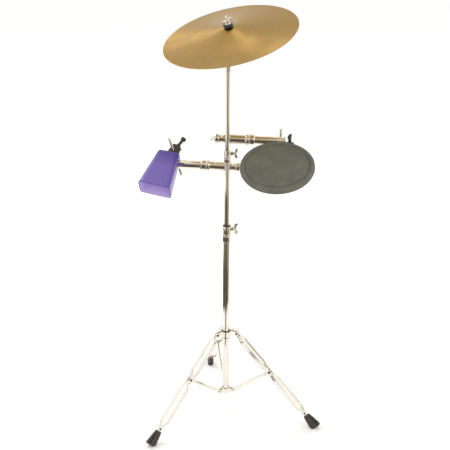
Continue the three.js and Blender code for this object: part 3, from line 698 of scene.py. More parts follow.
def rivet_pair(half_length, head=4.2, radius=RIVET_RADIUS):
    """A rivet along Y with a domed head at each end."""
    shaft = moved(rod(radius, (0, 0, -half_length), (0, 0, half_length)), Z_TO_Y)
    profile = [(head, 0), (head, 0.5), (head * 0.92, 1), (head * 0.7, 1.5), (head * 0.4, 1.8), (0, 1.9)]
    heads = []
    for side, turn in ((-1, Z_TO_Y @ spin(180, "X")), (1, Z_TO_Y)):
        heads.append(moved(lathe(profile, 32), shift(0, side * half_length, 0) @ turn))
    return together(shaft, *heads)


# ---------------- stand: tubes and height clamps


def span_of(node):
    """The lowest and highest Z of a CAD node, in mm."""
    low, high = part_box(node)
    return low.z / MM, high.z / MM


def build_tubes():
    for node, body, size in (
        ("base_tube", "base", BASE_TUBE), ("middle_tube", "middle", MIDDLE_TUBE), ("top_rod", "top", TOP_ROD),
    ):
        shape = pipe(size["radius"], size["radius"] - size["wall"], *span_of(node), 0.5, 96)
        add_piece(node + "_skin", shape, Matrix(), body, "chrome", node)


def height_clamp(clamp, tube, tube_top):
    """A sleeve round a tube's top, with a rolled bead and a boss for its wing bolt."""
    bottom, top, radius = clamp["bottom"], clamp["top"], clamp["radius"]
    bore, neck, shelf = tube["radius"] + FIT, clamp["neck"] + FIT, tube_top + FIT
    middle, bead = bottom + (top - bottom) * 0.4, radius + 1.1
    sleeve = turned([
        (bore, bottom), (radius, bottom), (radius, middle - 3), (bead, middle - 1), (bead, middle + 3),
        (radius, middle + 5), (radius, top), (neck, top), (neck, shelf), (bore, shelf), (bore, bottom),
    ], 0.6, 96)
    size, end = clamp["boss"]
    start, screw_hole = bore + 0.4, 3.4
    boss = turned([
        (0, start), (size * 0.96, start), (size, end - 3), (size - 0.6, end), (screw_hole, end),
        (screw_hole, end - 3), (0, end - 3),
    ], 0.8, 48)
    boss.transform(shift(0, 0, clamp["bolt"]) @ Z_TO_X)
    return together(sleeve, boss)


def wing_seat(name, twist=0):
    return Matrix.Translation(place_at(name + "_bolt_turn") + Vector((FIT, 0, 0))) @ spin(twist, "X")


def build_clamps():
    shape = height_clamp(LOWER_CLAMP, BASE_TUBE, span_of("base_tube")[1])
    add_piece("lower_clamp_casting", shape, Matrix(), "base", "chrome", "lower_clamp")
    inner, outer, lip = MIDDLE_TUBE["radius"] + FIT, 11.1, 13.4
    low, high = LOWER_CLAMP["bush"], LOWER_CLAMP["top"]
    bush = turned([
        (inner, low), (outer, low), (outer, high + FIT), (lip, high + FIT), (lip - 0.6, high + 3),
        (inner, high + 3), (inner, low),
    ], 0.5, 72)
    add_piece("lower_clamp_nylon_bush", bush, Matrix(), "base", "black_plastic", "lower_clamp_bush")
    add_wing("lower_clamp", wing_bolt(12.4, span=46), wing_seat("lower_clamp", 12))

    shape = height_clamp(UPPER_CLAMP, MIDDLE_TUBE, span_of("middle_tube")[1])
    add_piece("upper_clamp_casting", shape, Matrix(), "middle", "chrome", "upper_clamp")
    add_wing("upper_clamp", wing_bolt(10.5, 5, 9, 34, 5), wing_seat("upper_clamp"))


# ---------------- stand: tripod


def azimuth_of(side):
    """The direction of a leg about the stand's axis, in degrees."""
    pivot = place_at(f"leg_{side}_fold")
    return math.degrees(math.atan2(pivot.y, pivot.x))


def pivot_in_plane(joint):
    """The joint's distance from the stand's axis, and its height."""
    spot = place_at(joint)
    return math.hypot(spot.x, spot.y), spot.z


def clevis_ear(inner, radius, height, middle):
    """One flat ear from the ring out to a rivet, rounded at its end."""
    size = EAR["round"]
    steps = 16
    turns = [math.pi * i / steps for i in range(steps + 1)]
    arc = [(radius + size * math.sin(turn), height - size * math.cos(turn)) for turn in turns]
    return plate([(inner, height - size), *arc, (inner, height + size)], EAR["thickness"], middle)


def ears_round(inner, joint_name, middle):
    ears = []
    for side in SIDES:
        radius, height = pivot_in_plane(joint_name.format(side))
        for sign in (-1, 1):
            ear = clevis_ear(inner, radius, height, sign * middle)
            ears.append(moved(ear, spin(azimuth_of(side), "Z")))
    return ears


def build_collar():
    bore = BASE_TUBE["radius"] + FIT + 0.2
    bottom, top, radius = COLLAR["bottom"], COLLAR["top"], COLLAR["radius"]
    cup = top - 5
    ring = turned([
        (bore, bottom), (radius + 0.8, bottom), (radius + 0.8, bottom + 3), (radius, bottom + 5),
        (radius, top - 4), (radius + 0.6, top - 3), (radius + 0.6, top), (radius - 1.2, top),
        (radius - 1.2, cup), (bore, cup), (bore, bottom),
    ], 0.6, 96)
    bolt_way, bolt_at = axis_of("leg_collar_bolt_turn"), place_at("leg_collar_bolt_turn")
    centre = Vector((0, 0, bolt_at.z))
    boss = rod(7.5, centre + bolt_way * 15, centre + bolt_way * COLLAR["boss_end"], 1.0, 48)
    middle = LEG["thickness"] + FIT + 0.35 + EAR["thickness"] / 2
    casting = fused(ring, boss, *ears_round(radius - 2, "leg_{}_fold", middle))
    add_piece("leg_collar_casting", casting, Matrix(), "collar", "chrome", "leg_collar")

    low, outer = cup + 0.4, radius - 1.6
    bush = turned([
        (bore, low), (outer, low), (outer, top + 1), (outer - 0.8, top + 1.8), (bore, top + 1.8), (bore, low),
    ], 0.5, 72)
    add_piece("leg_collar_nylon_bush", bush, Matrix(), "collar", "black_plastic", "leg_collar_bush")
    add_wing("leg_collar", wing_bolt(21.5), frame_from(bolt_at, bolt_way, UP) @ spin(68, "X"))
    half = LEG["thickness"] + 2 * FIT + EAR["thickness"] + 0.3
    for side in SIDES:
        matrix = Matrix.Translation(place_at(f"leg_{side}_fold")) @ spin(azimuth_of(side), "Z")
        node = f"leg_{side}_rivet"
        add_piece(f"leg_{side}_top_rivet", rivet_pair(half), matrix, "collar", "black_steel", node)


def build_hub():
    bottom, top, radius = HUB["bottom"], HUB["top"], HUB["radius"]
    bore, floor = BASE_TUBE["radius"] + FIT, bottom + 3.6
    cup = turned([
        (0, bottom), (radius - 1, bottom), (radius, bottom + 1.5), (radius, top), (bore, top), (bore, floor),
        (0, floor),
    ], 0.8, 96)
    middle = BRACE["width"] / 2 + 0.6 + EAR["thickness"] / 2
    casting = fused(cup, *ears_round(radius - 2, "brace_{}_fold", middle))
    pins = []
    for side in SIDES:
        matrix = Matrix.Translation(place_at(f"brace_{side}_fold")) @ spin(azimuth_of(side), "Z")
        pins.append(moved(rivet_pair(middle + EAR["thickness"] / 2, 3.8), matrix))
    add_piece("brace_hub_casting", together(casting, *pins), Matrix(), "base", "chrome", "brace_hub")


def leg_matrix(side):
    """X runs down the leg from its top rivet, Y is sideways, and Z is the leg's upper face."""
    down = math.radians(LEG["angle"])
    turn = spin(azimuth_of(side), "Z")
    along = turn @ Vector((math.sin(down), 0, -math.cos(down)))
    upright = turn @ Vector((math.cos(down), 0, math.sin(down)))
    return frame_from(place_at(f"leg_{side}_fold"), along, upright)


def leg_bar(side):
    """A pressed strip with turned-in edges, bowed out between the places where the two bars meet."""
    half, tall = LEG["thickness"] / 2, LEG["height"] / 2
    pinched = half + 0.3
    at_brace = BRACE["width"] / 2 + 0.5 + half
    wide, joint, bulge, waist = LEG["half_spread"], LEG["joint"], LEG["bulge"], LEG["waist"]
    path = [
        (LEG["top"], pinched), (LEG["head"], pinched), (bulge, wide), (joint - bulge, wide),
        (joint - waist, at_brace), (joint + waist, at_brace), (joint + bulge, wide),
        (LEG["taper"][0], wide), (LEG["taper"][1], pinched), (LEG["end"], pinched),
    ]
    line = rounded([(x, side * y, 0) for x, y in path], 5, 5)
    rim, groove = 2.0, 0.7
    outer = [(half, tall - 0.7), (half, tall - rim), (half - groove, tall - rim - 0.9)]
    outer += [(u, -v) for u, v in reversed(outer)]
    inner = [(-half, -tall + 0.7), (-half, tall - 0.7)]
    low = [(half - 0.2, -tall + 0.2), (half - 0.9, -tall), (-half + 0.9, -tall), (-half + 0.2, -tall + 0.2)]
    high = [(-u, -v) for u, v in low]
    return loft(swept(line, [(side * u, v) for u, v in outer + low + inner + high], UP))


def boot_shape():
    """A wedge-shaped rubber boot with lengthwise ribs, a plain lip at the neck and a plain heel."""
    steps = 28
    rings = []
    for step in range(steps + 1):
        t = step / steps
        half_y, half_z = (low + (high - low) * t ** 0.85 for low, high in zip(BOOT["neck"], BOOT["sole"]))
        ends = min(1.0, t / 0.05) ** 0.5 * 0.08 + 0.92
        ends *= min(1.0, (1 - t) / 0.05 + 0.0001) ** 0.5 * 0.1 + 0.9
        ribbed = max(0.0, min(1.0, (t - 0.14) * 12)) * max(0.0, min(1.0, (0.88 - t) * 14))
        outline = rounded_rectangle(half_y, half_z, half_y * 0.62, 30)
        ring = []
        for i, (y, z) in enumerate(outline):
            groove = max(0.0, math.cos(2 * math.pi * BOOT["ribs"] * i / len(outline))) ** 0.8
            size = ends * (1 - ribbed * groove * 0.12)
            ring.append(Vector((BOOT["start"] + BOOT["length"] * t, y * size, z * size)))
        rings.append(ring)
    mouth = [Vector((BOOT["start"] + 0.4, point.y * 0.86, point.z * 0.86)) for point in rings[0]]
    return loft([mouth, *rings])


def cut_at_floor(shape, matrix):
    """Trims a shape flat where the floor is, and closes it."""
    inverse = matrix.inverted()
    plane = inverse @ Vector((0, 0, 0.02))
    normal = inverse.to_3x3() @ UP
    everything = shape.verts[:] + shape.edges[:] + shape.faces[:]
    cut = bmesh.ops.bisect_plane(shape, geom=everything, plane_co=plane, plane_no=normal, clear_inner=True)
    edges = [item for item in cut["geom_cut"] if isinstance(item, bmesh.types.BMEdge)]
    bmesh.ops.contextual_create(shape, geom=edges)
    return shape


def brace_shape(length):
    """A folded channel with rounded ends that opens downwards."""
    half, tall, wall = BRACE["width"] / 2, BRACE["height"] / 2, BRACE["wall"]
    inner, roof = half - wall, tall - wall
    left = [(-half, -tall), (-half, tall - 1.6), (-half + 0.5, tall - 0.5), (-half + 1.6, tall)]
    right = [(-u, v) for u, v in reversed(left)]
    section = [*left, *right, (inner, -tall), (inner, roof), (-inner, roof), (-inner, -tall)]
    over = BRACE["overhang"]
    start = [(-over, 0.45), (-over + 1.2, 0.75), (-over + 3.5, 0.96), (-over + 6, 1)]
    end = [(length - x, size) for x, size in reversed(start)]
    middle = [(length * i / 12, 1) for i in range(1, 12)]
    rings = []
    for x, size in start + middle + end:
        heights = [v * size if v < roof - 0.1 else v - (1 - size) * 1.5 for u, v in section]
        rings.append([Vector((x, u, height)) for (u, v), height in zip(section, heights)])
    return loft(rings)


def brace_matrix(side):
    """X runs up the brace from its rivet in the hub to its rivet in the leg."""
    down = math.radians(LEG["angle"])
    leg_radius, leg_height = pivot_in_plane(f"leg_{side}_fold")
    hub_radius, hub_height = pivot_in_plane(f"brace_{side}_fold")
    run = leg_radius + LEG["joint"] * math.sin(down) - hub_radius
    rise = leg_height - LEG["joint"] * math.cos(down) - hub_height
    turn = spin(azimuth_of(side), "Z") @ Matrix.Rotation(-math.atan2(rise, run), 4, "Y")
    return Matrix.Translation(place_at(f"brace_{side}_fold")) @ turn, math.hypot(run, rise)


def build_legs():
    brace_rivet = BRACE["width"] / 2 + 0.5 + LEG["thickness"] + 0.1
    foot_rivet = LEG["thickness"] + 0.4
    for side in SIDES:
        leg, brace = f"leg_{side}", f"brace_{side}"
        matrix = leg_matrix(side)
        for tag, sign in (("a", 1), ("b", -1)):
            add_piece(f"{leg}_strip_{tag}", leg_bar(sign), matrix, leg, "chrome", f"{leg}_bar_{tag}")
        boot = cut_at_floor(boot_shape(), matrix)
        add_piece(f"{leg}_boot", boot, matrix, leg, "foot_rubber", f"{leg}_foot")
        at_brace = matrix @ shift(LEG["joint"], 0, 0)
        add_piece(f"{leg}_brace_rivet", rivet_pair(brace_rivet), at_brace, leg, "black_steel")
        near_foot = matrix @ shift(LEG["foot_rivet"], 0, 0)
        add_piece(f"{leg}_foot_rivet", rivet_pair(foot_rivet, 3.2, 1.8), near_foot, leg, "black_steel")
        place, length = brace_matrix(side)
        add_piece(f"{brace}_channel", brace_shape(length), place, brace, "chrome", brace)


# ---------------- cymbal and tilter

HINGE_WAY = axis_of("cymbal_tilt")
POST_WAY = axis_of("cymbal_spin")
DISC_SIDE = spin(-16, "Z") @ Vector((1, 0, 0))  # keeps the corners of the disc's own box near the CAD's box
POST = frame_from(place_at("cymbal_spin") - POST_WAY * CYMBAL["post"], DISC_SIDE, POST_WAY)
EDGE_HEIGHT = CYMBAL["post"] - CYMBAL["rise"]  # up the post, at the cymbal's edge


def build_tilter():
    hinge = frame_from(place_at("cymbal_tilt"), HINGE_WAY, UP)
    radius = TILTER["radius"]
    bore = TOP_ROD["radius"] + FIT
    rod_top = span_of("top_rod")[1] - place_at("cymbal_tilt").z
    low = rod_top - 14
    socket = turned([
        (bore, low), (radius - 2, low), (radius - 2, rod_top + 14), (radius - 3, rod_top + 18),
        (6.5, rod_top + 22), (6.5, -2), (0, -2), (0, rod_top + FIT), (bore, rod_top + FIT), (bore, low),
    ], 1.0, 72)
    disc = moved(turned([(0, -8), (radius, -8), (radius, 1.5), (0, 1.5)], 0.9, 72), Z_TO_X)
    add_piece("tilter_base_casting", fused(socket, disc), hinge, "top", "chrome", "tilter_base")
    bolt = hinge @ shift(-8 - FIT, 0, 0) @ spin(180, "Z")
    add_wing("tilter", wing_bolt(15, 6, 10, 40, 6, shaft_radius=3.5), bolt)

    face = moved(turned([(0, 6.9), (radius, 6.9), (radius, 12), (0, 12)], 0.9, 72), Z_TO_X)
    neck = turned([(0, -7), (7, -7), (7.5, 0), (7, 8), (5, 11), (0, 11)], 1.2, 48)
    neck.transform(shift(TILTER["offset"] + 0.6, 0, 0))
    teeth = []
    for i in range(TILTER["teeth"]):
        tooth = rod(0.7, (6.2, 0, 4), (6.2, 0, 12), 0.2, 10)
        teeth.append(moved(tooth, spin(360 / TILTER["teeth"] * i, "X")))
    head = together(fused(face, neck), *teeth)
    matrix = frame_from(place_at("cymbal_tilt"), HINGE_WAY, POST_WAY)
    add_piece("tilter_head_casting", head, matrix, "tilter", "chrome", "tilter_head")
    shoulder = CYMBAL["post"] + 2
    screw = moved(thread(4, 32), shift(0, 0, shoulder))
    post = together(rod(4, (0, 0, 2), (0, 0, shoulder), 0.5, 32), screw)
    add_piece("cymbal_post_screw", post, POST, "tilter", "chrome", "cymbal_post")


def bow(radius):
    """Height of the cymbal's upper face over its edge."""
    return CYMBAL["rise"] * (1 - radius / CYMBAL["radius"]) ** 1.5


def ripple(radius):
    """The lathe's shallow grooves, gone at the edge and the hole."""
    fade = min(1, (CYMBAL["radius"] - radius) / 12, max(0, radius - CYMBAL["hole"]) / 20)
    return 0.05 * fade * (math.sin(radius * 2.1) + 0.6 * math.sin(radius * 5.3 + 1))


def fuzzy(shape, height, scale):
    """Felt's uneven surface: every point moves a little along its normal."""
    bmesh.ops.recalc_face_normals(shape, faces=shape.faces)
    shape.normal_update()
    for vert in shape.verts:
        vert.co += vert.normal * height * noise.fractal(vert.co * scale, 0.8, 2.0, 4)
    return shape


def felt_washer(bottom, top, dish=0.0):
    """A pressed felt ring that bulges a little where it is squeezed."""
    outer, inner = WASHER["radius"] - WASHER["edge"], WASHER["hole"]
    steps, across = 10, 8
    profile = []
    for i in range(steps + 1):
        t = i / steps
        bulge = WASHER["edge"] * math.cos((0.5 - t) * math.pi)
        profile.append((outer + bulge, bottom + (top - bottom - dish) * t))
    shares = [i / across for i in range(1, across + 1)]
    profile += [(outer + (inner - outer) * share, top - dish * (1 - share)) for share in shares]
    profile += [(inner, bottom + 1), (inner, bottom)]
    profile += [(inner + (outer - inner) * share, bottom) for share in shares[:-1]]
    profile.append(profile[0])
    return fuzzy(lathe(profile, 96), 0.28, 0.9)


def cymbal_shape():
    """A thin bowed disc with lathe grooves on both faces, a round edge and a hole."""
    hole, radius, thick = CYMBAL["hole"], CYMBAL["radius"], CYMBAL["thickness"]
    steps = 150
    radii = [hole + (radius - 0.6 - hole) * (i / steps) for i in range(steps + 1)]
    upper = [(r, EDGE_HEIGHT + bow(r) + ripple(r)) for r in radii]
    lower = [(r, EDGE_HEIGHT + bow(r) - thick - ripple(r)) for r in reversed(radii)]
    round_edge = ((0.1, 0.2), (0, 0.5), (0.1, 0.8))
    edge = [(radius - inward, EDGE_HEIGHT - thick * share) for inward, share in round_edge]
    rim = (hole - 0.2, EDGE_HEIGHT + bow(hole) - thick * 0.5)
    return lathe([*upper, *edge, *lower, rim, upper[0]], 192)


def wing_nut():
    """A flanged wing nut up +Z."""
    hole = 4.5
    flange = turned([(hole, 0), (11, 0), (11, 1.6), (6.5, 2.6), (hole, 2.6), (hole, 0)], 0.6, 48)
    barrel = turned([(hole, 0), (6.5, 0), (6.2, 9), (5.6, 11), (hole, 11), (hole, 0)], 0.8, 48)
    leaves = []
    for side in (-1, 1):
        leaf = wing_leaf((4, 0, side * 5.6), (10, 0, side * 14), 3.2, 6, (2.4, 1.9))
        leaves.append(moved(leaf, spin(-90, "Y")))
    return fused(flange, barrel, *leaves, voxel=0.42, smoothing=5)


def build_cymbal():
    add_piece("cymbal_disc", cymbal_shape(), POST, "cymbal", "bronze", "cymbal", 60)
    under = EDGE_HEIGHT + bow(WASHER["radius"]) - CYMBAL["thickness"]
    seat_top = under - FIT - 5
    seat = pipe(13, 4 + FIT, seat_top - 6, seat_top, 1.0, 72)
    add_piece("cymbal_seat_cup", seat, POST, "tilter", "chrome", "cymbal_seat")
    above = EDGE_HEIGHT + bow(CYMBAL["hole"]) + FIT
    washer_top = above + WASHER["height"]
    for node, shape in (
        ("lower_felt", felt_washer(seat_top + FIT, under + 1.0, 1.5)),
        ("upper_felt", felt_washer(above, washer_top)),
    ):
        washer = add_piece(node + "_washer", shape, POST, "tilter", "felt", node)
    nut_place = POST @ shift(0, 0, washer_top + FIT) @ spin(60, "Z")
    add_piece("cymbal_wing", wing_nut(), nut_place, "cymbal_nut", "chrome", "cymbal_wing_nut")


# ---------------- clamp arms


def arm_frame(arm):
    """X runs along the arm, Y away from the stand's tube, and the tube stands on the origin."""
    x = axis_of(f"{arm}_arm_lock_ring_turn")
    y = axis_of(f"{arm}_arm_eye_tilt")
    return frame_from(place_at(f"{arm}_arm_swivel"), x, x.cross(y))


def arm_clamp(arm, add, matrix, tube_radius):
    """The notched sleeve and jaw that grip the stand's tube, and the wing bolt that ties them."""
    offset, radius = ARM["offset"], ARM["sleeve"]
    along = shift(0, offset, 0) @ Z_TO_X
    grip = tube_radius + FIT

    def clamped(shape, *cutters):
        tube = bmesh.new()
        bmesh.ops.create_cone(tube, cap_ends=True, segments=96, radius1=grip, radius2=grip, depth=60)
        mouth = box_shape((-grip, -40, -30), (grip, 0, 30), 0.01)
        return fused(carved(moved(shape, along), tube, mouth, *cutters), voxel=0.6)

    bore, end = ARM["tube"] + FIT + 0.1, ARM["sleeve_end"]
    sleeve = turned([(0, 1.5), (radius, 1.5), (radius, end), (bore, end), (bore, 26), (0, 26)], 0.8, 96)
    add("sleeve_casting", clamped(sleeve), matrix, "sleeve")

    start, end = ARM["cap_start"], ARM["cap_end"]
    jaw = turned([
        (0, start), (radius - 2.5, start), (radius - 0.4, start + 1.6), (radius, start + 4),
        (radius, end - 1), (radius - 1, end), (radius - 2, end + 1.5), (radius - 2, -1.5), (0, -1.5),
    ], 0.8, 96)
    vees = []
    for height in (19, -19):
        wedge = box_shape((-7.5, -40, -7.5), (7.5, 40, 7.5), 0.01)
        vees.append(moved(wedge, shift(-20, offset, height) @ spin(45, "Y")))
    add("jaw_casting", clamped(jaw, *vees), matrix, "jaw")
    tie = matrix @ shift(start - FIT, offset, 0) @ spin(180, "Z") @ spin(90, "X")
    add_wing(f"{arm}_arm_tie", wing_bolt(-start + 17, hub=12, span=44), tie)


def arm_tube(add, matrix, reach):
    """The arm's round tube with a grooved, closed end, and the ring that locks it in its sleeve."""
    along = shift(0, ARM["offset"], 0) @ Z_TO_X
    tube, sleeve, ring = ARM["tube"], ARM["sleeve"] + FIT, ARM["ring"]
    start, end, step = ARM["ring_start"], ARM["ring_end"], ARM["sleeve_end"] + FIT
    lock = turned([
        (sleeve, start), (ring - 1.6, start), (ring, start + 4), (ring, start + 9), (ring - 0.9, start + 10),
        (ring - 0.9, start + 13), (ring, start + 14), (ring, end - 3), (ring - 1.6, end), (tube + FIT, end),
        (tube + FIT, step), (sleeve, step), (sleeve, start),
    ], 0.8, 96)
    add("lock_collar", moved(lock, along), matrix, "lock_ring")

    inside, start = tube - ARM["wall"], ARM["tube_start"]
    barrel = turned([
        (inside, start), (tube, start), (tube, reach - 9), (tube - 0.5, reach - 8.6),
        (tube - 0.5, reach - 7.8), (tube, reach - 7.4), (tube, reach - 2), (tube - 2, reach), (0, reach),
        (0, reach - 3), (inside, reach - 3), (inside, start),
    ], 0.6, 96)
    add("barrel", moved(barrel, along), matrix, "tube")


def arm_eye(arm, add, eye_way):
    """The eye bolt at the arm's end, whose hole runs along eye_way, and its nut."""
    name = f"{arm}_arm_eye"
    side = axis_of(name + "_tilt")
    offset, reach, tube = ARM["offset"], ARM["eye_reach"], ARM["tube"]
    eye = frame_from(place_at(name + "_tilt") - side * offset, side.cross(eye_way), eye_way)
    hole = ROD_RADIUS + FIT + 0.1
    loop = turned([(hole, -7), (8, -7), (9, -5), (9, 5), (8, 7), (hole, 7), (hole, -7)], 0.8, 64)
    loop.transform(shift(0, reach, 0))
    neck = rod(3.6, (0, offset + tube - 6, 0), (0, reach - 7.5, 0), 0.3)
    screw_start = offset - tube - 8
    shank = moved(thread(3, reach - 6 - screw_start), shift(0, screw_start, 0) @ Z_TO_Y)
    add("eye_casting", together(fused(loop, neck, voxel=0.4), shank), eye, "eye", "eye_bolt")

    corners = [math.pi * (i / 3 + 1 / 6) for i in range(6)]
    hexagon = []
    for depth, radius in ((0, 6.51), (-0.7, 7), (-4.6, 7), (-5.4, 6.3)):
        hexagon.append([Vector((radius * math.cos(a), depth, radius * math.sin(a))) for a in corners])
    nut = carved(loft(hexagon), rod(3.1, (0, -8, 0), (0, 2, 0), 0.2))
    add("eye_hex_nut", nut, frame_from(place_at(name + "_nut_turn"), side.cross(UP), UP), "eye_nut")
    return eye


def build_arm(arm, tube_radius, eye_way):
    def add(ending, shape, place, body, node=None):
        name = f"{arm}_arm_"
        add_piece(name + ending, shape, place, name + body, "chrome", name + (node or body))

    matrix = arm_frame(arm)
    arm_clamp(arm, add, matrix, tube_radius)
    arm_tube(add, matrix, REACH[arm])
    return arm_eye(arm, add, eye_way)


# ---------------- practice pad


def pad_rod(eye):
    """The bent rod from the eye down and out to the pad's hinge, with domed ends."""
    out = axis_of("pad_tilt")
    top = eye @ Vector((0, ARM["eye_reach"], PAD_ROD["above"]))
    corner = eye @ Vector((0, ARM["eye_reach"], -PAD_ROD["below"]))
    above, beyond = corner + UP * PAD_ROD["bend"], corner + out * PAD_ROD["bend"]
    steps = 12
    elbow = [bend(above, corner, beyond, step / steps) for step in range(1, steps)]
    line = [top, above, *elbow, beyond, corner + out * PAD_ROD["leg"]]
    rings = swept(line, circle(ROD_RADIUS, 40), UP.cross(out).normalized())

    def dome(end, ring, way):
        return [[end + way * rise + (point - end) * size for point in ring] for rise, size in ROD_DOME]

    return loft([*reversed(dome(line[0], rings[0], UP)), *rings, *dome(line[-1], rings[-1], out)])


def pad_disc():
    """The rubber from above: a flat playing face, a groove round it and a raised rim."""
    radius, play, depth = PAD["radius"], PAD["play"], PAD["rubber"]
    return lathe([tuple(point) for point in rounded([
        (0, 0.0), (20, 0.02), (60, 0.05), (play - 6, 0.0), (play - 1.4, -0.2), (play - 0.4, -2.2),
        (play + 1.4, -2.2), (play + 2.6, 0.4), (play + 6, 2.3), (radius - 8, 3.0), (radius - 3, 1.4),
        (radius - 0.6, -2.4), (radius, -6), (radius, -depth + 2.5), (radius - 2.2, -depth), (0, -depth),
    ], 1.6, 4)], 180)


def build_pad():
    eye = build_arm("upper", TOP_ROD["radius"], UP)
    add_piece("pad_rod_bar", pad_rod(eye), Matrix(), "pad_rod", "chrome", "pad_rod", 50, [SATIN])

    mount = MOUNTS["pad_playing_face"]
    normal = Vector(mount["axis"]).normalized()
    sideways = UP.cross(normal).normalized()
    centre = Vector(mount["pos_m"]) / MM - sideways * PAD["mount_offset"]
    pad = frame_from(centre, Vector((1, 0, 0)), normal)
    skin = add_piece("pad_rubber_disc", pad_disc(), pad, "pad", "pad_rubber", "pad_rubber", 50)
    radius, top, base = PAD["radius"] - 3, -PAD["rubber"] - FIT, PAD["base"]
    board = turned([
        (0, top), (radius, top), (radius, -base + 1.6), (radius - 2, -base), (0, -base),
    ], 0.7, 160)
    add_piece("pad_base_board", board, pad, "pad", "pad_board", "pad_base")
    cast_from("pad_bracket", "pad", "black_steel", 0.7)
    add_knob("pad_clamp_t_knob", "pad_knob", "pad_clamp_knob", "pad_knob_turn", PAD_KNOB, sideways, 70)


def cast_from(node, body, slot, voxel, smoothing=5):
    """A cast piece with soft edges, grown over the shape of its CAD node."""
    shape = bmesh.new()
    shape.from_mesh(frame["nodes"][node].data)
    shape.transform(Matrix.Scale(1 / MM, 4))
    bmesh.ops.remove_doubles(shape, verts=shape.verts, dist=0.001)
    cast = fused(shape, voxel=voxel, smoothing=smoothing)
    add_piece(node + "_casting", cast, Matrix(), body, slot, node)


# ---------------- cowbell


def bell_matrix():
    turn = spin(BELL["yaw"], "Z") @ spin(BELL["pitch"], "X") @ spin(BELL["roll"], "Z")
    return Matrix.Translation(Vector(BELL["at"])) @ turn


def bell_section(depth, inset, flat_depth=None):
    """A rounded rectangle at a depth below the bell's closed top, with its sides slightly crowned."""
    t = depth / BELL["length"]
    half_x, half_y = (BELL["top"][i] + (BELL["mouth"][i] - BELL["top"][i]) * t - inset for i in (0, 1))
    strength = 1 if inset > 0 else 0.6
    height = -(depth if flat_depth is None else flat_depth)
    ring = [Vector((x, y, 0)) for x, y in rounded_rectangle(half_x, half_y, BELL["corner"] - inset * 0.8, 8)]
    section = []
    for i, point in enumerate(ring):
        after = ring[(i + 1) % len(ring)]
        parts = 10 if (after - point).length > 8 else 1
        for part in range(parts):
            x, y, _ = point.lerp(after, part / parts)
            lift_x = 0.25 * strength * (1 - min(1, abs(y) / half_y) ** 2) * math.copysign(1, x)
            lift_y = 0.8 * strength * (1 - min(1, abs(x) / half_x) ** 2) * math.copysign(1, y)
            section.append(Vector((x + lift_x, y + lift_y, height)))
    return section


def bell_shape():
    """The outside and then the inside of the moulding. Its inner faces take the second material, the lighter copy
    with painted light.
    """
    length, wall = BELL["length"], BELL["wall"]
    shoulder, inner_shoulder, lip, steps = 4.5, 8, 0.6, 24
    outside = [
        bell_section(0, 7), bell_section(0.35, 4.4), bell_section(1.2, 2.2), bell_section(2.6, 0.7),
        bell_section(shoulder, 0),
    ]
    outside += [bell_section(shoulder + (length - shoulder) * i / steps, 0) for i in range(1, steps)]
    outside += [bell_section(length - lip, 0.05), bell_section(length, lip)]
    inside = [bell_section(length, wall - lip), bell_section(length - lip, wall - 0.05)]
    run = length - inner_shoulder
    inside += [bell_section(length - run * i / steps, wall) for i in range(1, steps + 1)]
    inside += [
        bell_section(6, wall + 1.6, 5), bell_section(4, wall + 4, wall + 0.4), bell_section(wall, wall + 7),
    ]
    shape = loft([*outside, *inside])
    shape.verts.index_update()
    first_inner = len(outside[0]) * (len(outside) + 1)
    for face in shape.faces:
        if all(vert.index >= first_inner for vert in face.verts):
            face.material_index = 1
    return shape


def build_bell():
    eye = build_arm("lower", MIDDLE_TUBE["radius"], -axis_of("bell_rod_height"))
    low, high = -BELL_ROD["above"], BELL_ROD["below"]
    bar = turned([
        (0, low), (ROD_RADIUS - 2, low + 0.3), (ROD_RADIUS, low + 2.6), (ROD_RADIUS, high - 2.6),
        (ROD_RADIUS - 2, high - 0.3), (0, high),
    ], 1.4, 48)
    bar.transform(shift(0, ARM["eye_reach"], 0))
    add_piece("bell_rod_bar", bar, eye, "bell_rod", "chrome", "bell_rod")
    add_piece("bell_shell_moulding", bell_shape(), bell_matrix(), "bell", "bell_plastic", "bell_shell", 50,
              [FINISHES["bell_plastic"], BELL_INSIDE_PAINTED_LIGHT])
    cast_from("bell_bracket", "bell", "black_steel", 0.6)
    cast_from("bell_bracket_bolt", "bell", "chrome", 0.3, 3)
    add_knob("bell_clamp_t_knob", "bell_knob", "bell_clamp_knob", "bell_knob_turn", BELL_KNOB)


# ---------------- studio

def build_camera():
    data = bpy.data.cameras.new("camera")
    data.lens = CAMERA["lens"]
    data.sensor_width = CAMERA["sensor"]
    camera = new_object("camera", data)
    turn = spin(90 - CAMERA["pitch"], "X") @ spin(CAMERA["roll"], "Z")
    camera.matrix_world = Matrix.Translation(CAMERA["at"]) @ turn
    bpy.context.scene.camera = camera


def add_light(name, at, target, size, power):
    data = bpy.data.lights.new(name, "AREA")
    data.size = size
    data.energy = power
    data.color = (1.0, 0.96, 0.9)
    way = Vector(target) - Vector(at)
    light = new_object(name, data)
    light.matrix_world = Matrix.Translation(at) @ way.to_track_quat("-Z", "Y").to_matrix().to_4x4()


class Glow(Shading):
    """A material that only shines."""

    def __init__(self, name, color):
        super().__init__(name)
        self.nodes.clear()
        self.emission = self.nodes.new("ShaderNodeEmission")
        self.emission.inputs["Color"].default_value = (*color, 1)
        output = self.nodes.new("ShaderNodeOutputMaterial")
        self.links.new(self.emission.outputs["Emission"], output.inputs["Surface"])

    def product(self, first, second):
        node = self.nodes.new("ShaderNodeMath")
        node.operation = "MULTIPLY"
        self.links.new(first, node.inputs[0])
        self.links.new(second, node.inputs[1])
        return node.outputs[0]


def add_surroundings(name, mesh, glow):
    """Part of the room around the stand: it shows in the chrome, and casts and lights nothing."""
    mesh.materials.append(glow.material)
    made = new_object(name, mesh)
    made.visible_camera = False
    made.visible_diffuse = False
    made.visible_shadow = False
    made.visible_transmission = False
    made.visible_volume_scatter = False
    return made


